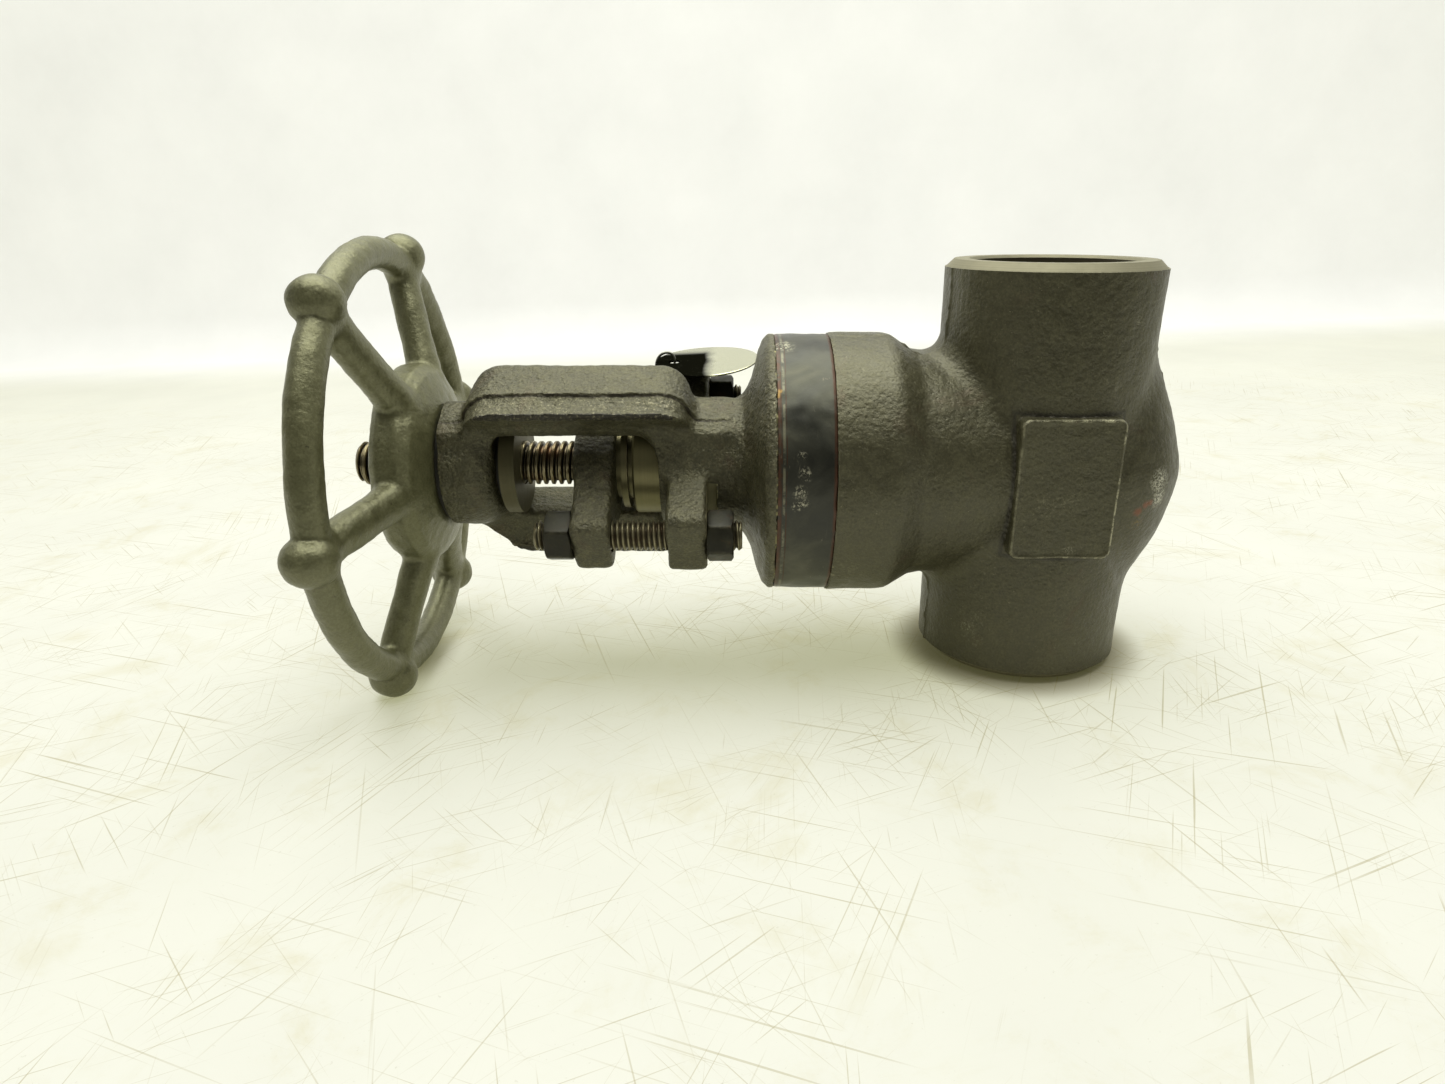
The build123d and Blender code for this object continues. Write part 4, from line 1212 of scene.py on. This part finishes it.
def floor_mat():
    k = Mat("pale_floor")
    x, y, z = k.xyz()
    c = k.ramp(k.noise(9, 5, 0.6), [(0.3, srgb(226, 226, 226)), (0.7, srgb(233, 233, 233))])
    table = k.step(y, 0.62, 0.3)
    st = k.math("MULTIPLY", table, k.step(k.noise(30, 6, 0.7, dist=0.5), 0.5, 0.8))
    c = k.mix(k.math("MULTIPLY", st, 0.42), c, srgb(205, 197, 160))
    gr = k.math("MULTIPLY", table, k.step(k.noise(700, 4, 0.7), 0.64, 0.72))
    c = k.mix(k.math("MULTIPLY", gr, 0.22), c, srgb(150, 142, 104))
    # fine hairline scratches in many directions
    for i, (rot, sc, th) in enumerate(((0.35, 0.40, 0.66), (1.25, 0.36, 0.665), (2.0, 0.40, 0.66), (2.75, 0.38, 0.66), (0.8, 0.36, 0.67), (1.62, 0.36, 0.67), (2.4, 0.34, 0.67))):
        rr = k.node("ShaderNodeMapping")
        k.put(rr.inputs["Vector"], k.co)
        rr.inputs["Rotation"].default_value = (0, 0, rot)
        v = k.node("ShaderNodeMapping")
        k.put(v.inputs["Vector"], rr.outputs["Vector"])
        v.inputs["Scale"].default_value = (11 + 2 * i, 1150 + 60 * i, 1)
        v.inputs["Location"].default_value = (i * 3.1, i * 1.7, 0)
        s = k.step(k.noise(1.0, 2, 0.4, vec=v.outputs["Vector"], dist=0.03), th, th + 0.05)
        s = k.math("MULTIPLY", s, k.step(k.noise(8 + i, 4, 0.6), 0.40, 0.58))
        s = k.math("MULTIPLY", s, k.step(y, 0.62, 0.3))
        c = k.mix(k.math("MULTIPLY", s, sc * 1.25), c, srgb(162, 150, 100))
    # contact shade round the standing hub and under the wheel
    d1 = k.math("SQRT", k.math("ADD", k.math("MULTIPLY", x, x), k.math("MULTIPLY", y, y)))
    xw = k.math("ADD", x, 0.2065)
    d2 = k.math("SQRT", k.math("ADD", k.math("MULTIPLY", xw, xw), k.math("MULTIPLY", k.math("MULTIPLY", y, y), 0.16)))
    shade = k.math("MULTIPLY", k.step(d1, 0.031, 0.045, 0.22, 1.0), k.step(d2, 0.001, 0.012, 0.5, 1.0))
    c = k.mix(k.math("MULTIPLY_ADD", shade, -0.85, 0.85), c, srgb(176, 168, 112))
    # the pool of light fades in front of the table
    near = k.step(y, -0.62, -0.19, 0.24, 1.0)
    mul = k.node("ShaderNodeVectorMath", operation="SCALE")
    k.put(mul.inputs[0], k.mix(1.0, c, (0.46, 0.455, 0.53, 1.0), mode="MULTIPLY"))
    k.put(mul.inputs["Scale"], near)
    # painted light: the floor and backdrop glow to lift the shade, warm on the floor and paler on the backdrop, weaker
    # in the contact shade and towards the front
    far = k.step(y, 0.62, 0.858)
    glow = k.mix(far, (0.43, 0.435, 0.255, 1.0), (0.665, 0.67, 0.565, 1.0))
    k.put(k.b.inputs["Emission Color"], k.mix(1.0, c, glow, mode="MULTIPLY"))
    k.put(k.b.inputs["Emission Strength"], k.math("MULTIPLY", k.math("MULTIPLY", shade, near), 1.15))
    return k.done(mul.outputs[0], 0.75, 0.0, spec=0.12)


def build_stage():
    n = 24
    half, back, front = 4.2, 0.86, -3.0
    R, top = 0.05, 1.6
    line = [(front, 0.0), (back - R, 0.0)]
    for i in range(1, n + 1):
        a = math.pi / 2 * i / n
        line.append((back - R + R * math.sin(a), R - R * math.cos(a)))
    line.append((back, top))
    V, F = [], []
    for x in (-half, half):
        V += [(x, y, z) for y, z in line]
    m = len(line)
    F = [(i, i + 1, m + i + 1, m + i) for i in range(m - 1)]
    me = bpy.data.meshes.new("floor")
    me.from_pydata(V, [], F)
    me.materials.append(floor_mat())
    ob = bpy.data.objects.new("floor", me)
    bpy.context.scene.collection.objects.link(ob)
    bm = bmesh.new()
    bm.from_mesh(me)
    bmesh.ops.recalc_face_normals(bm, faces=bm.faces)
    bm.to_mesh(me)
    bm.free()
    for p in me.polygons:
        p.use_smooth = True
    # the plane touches the body's lower edge and the wheel's lowest point
    ob.matrix_world = Matrix.Translation((-0.2086, 0, -0.0081)) @ Matrix.Rotation(-TILT, 4, "Y") @ Matrix.Translation((0.2086, 0, 0))
    return ob


build_stage()

# ---------------------------------------------------------------- light
world = bpy.data.worlds.new("studio") if not bpy.context.scene.world else bpy.context.scene.world
bpy.context.scene.world = world
world.use_nodes = True
bg = next(n for n in world.node_tree.nodes if n.type == "BACKGROUND")
# a room that is bright overhead and behind, and dim on the camera's side
wt = world.node_tree
wco = wt.nodes.new("ShaderNodeTexCoord")
dot = wt.nodes.new("ShaderNodeVectorMath")
dot.operation = "DOT_PRODUCT"
wt.links.new(wco.outputs["Generated"], dot.inputs[0])
dot.inputs[1].default_value = (0.0, 0.62, 0.78)
wr = wt.nodes.new("ShaderNodeValToRGB")
for e, (p, v) in zip((wr.color_ramp.elements[0], wr.color_ramp.elements[1], wr.color_ramp.elements.new(0.5)), ((0.30, 0.07), (0.95, 0.75), (0.62, 0.28))):
    e.position, e.color = p, (v, v * 0.99, v * 0.88, 1)
wm = wt.nodes.new("ShaderNodeMath")
wm.operation = "MULTIPLY_ADD"
wt.links.new(dot.outputs["Value"], wm.inputs[0])
wm.inputs[1].default_value, wm.inputs[2].default_value = 0.5, 0.5
wt.links.new(wm.outputs[0], wr.inputs["Fac"])
wt.links.new(wr.outputs["Color"], bg.inputs["Color"])
bg.inputs["Strength"].default_value = 1.0


def area(name, loc, aim, size, power, color=(1, 1, 1), size_y=None):
    li = bpy.data.lights.new(name, "AREA")
    li.shape = "RECTANGLE"
    li.size, li.size_y = size, size_y or size
    li.energy = power
    li.color = color
    ob = bpy.data.objects.new(name, li)
    ob.location = loc
    ob.rotation_mode = "QUATERNION"
    ob.rotation_quaternion = (Vector(aim) - Vector(loc)).to_track_quat("-Z", "Y")
    bpy.context.scene.collection.objects.link(ob)
    return ob


area("top_soft", (-0.12, 0.18, 1.25), (-0.09, 0.05, 0.05), 1.55, 26.8, (0.99, 1.0, 0.865))

bpy.context.scene.view_settings.view_transform = "Standard"
bpy.context.scene.view_settings.look = "None"

# ---------------------------------------------------------------- camera
cam_data = bpy.data.cameras.new("camera")
cam = bpy.data.objects.new("camera", cam_data)
bpy.context.scene.collection.objects.link(cam)
cam_data.sensor_width = 36.0
cam_data.lens = 906.1088 * 36.0 / 1445.0
cam_data.clip_start, cam_data.clip_end = 0.01, 20.0
rv = Vector((0.347634172, 0.0120360485, -0.00353413425))
R = Matrix.Rotation(rv.length, 3, rv.normalized()) @ Matrix(((1, 0, 0), (0, 0, -1), (0, 1, 0)))
M = Matrix(((R[0][0], -R[1][0], -R[2][0]), (R[0][1], -R[1][1], -R[2][1]), (R[0][2], -R[1][2], -R[2][2])))
cam.matrix_world = Matrix.Translation((-0.097519, -0.288996, 0.140292)) @ M.to_4x4()
bpy.context.scene.camera = cam
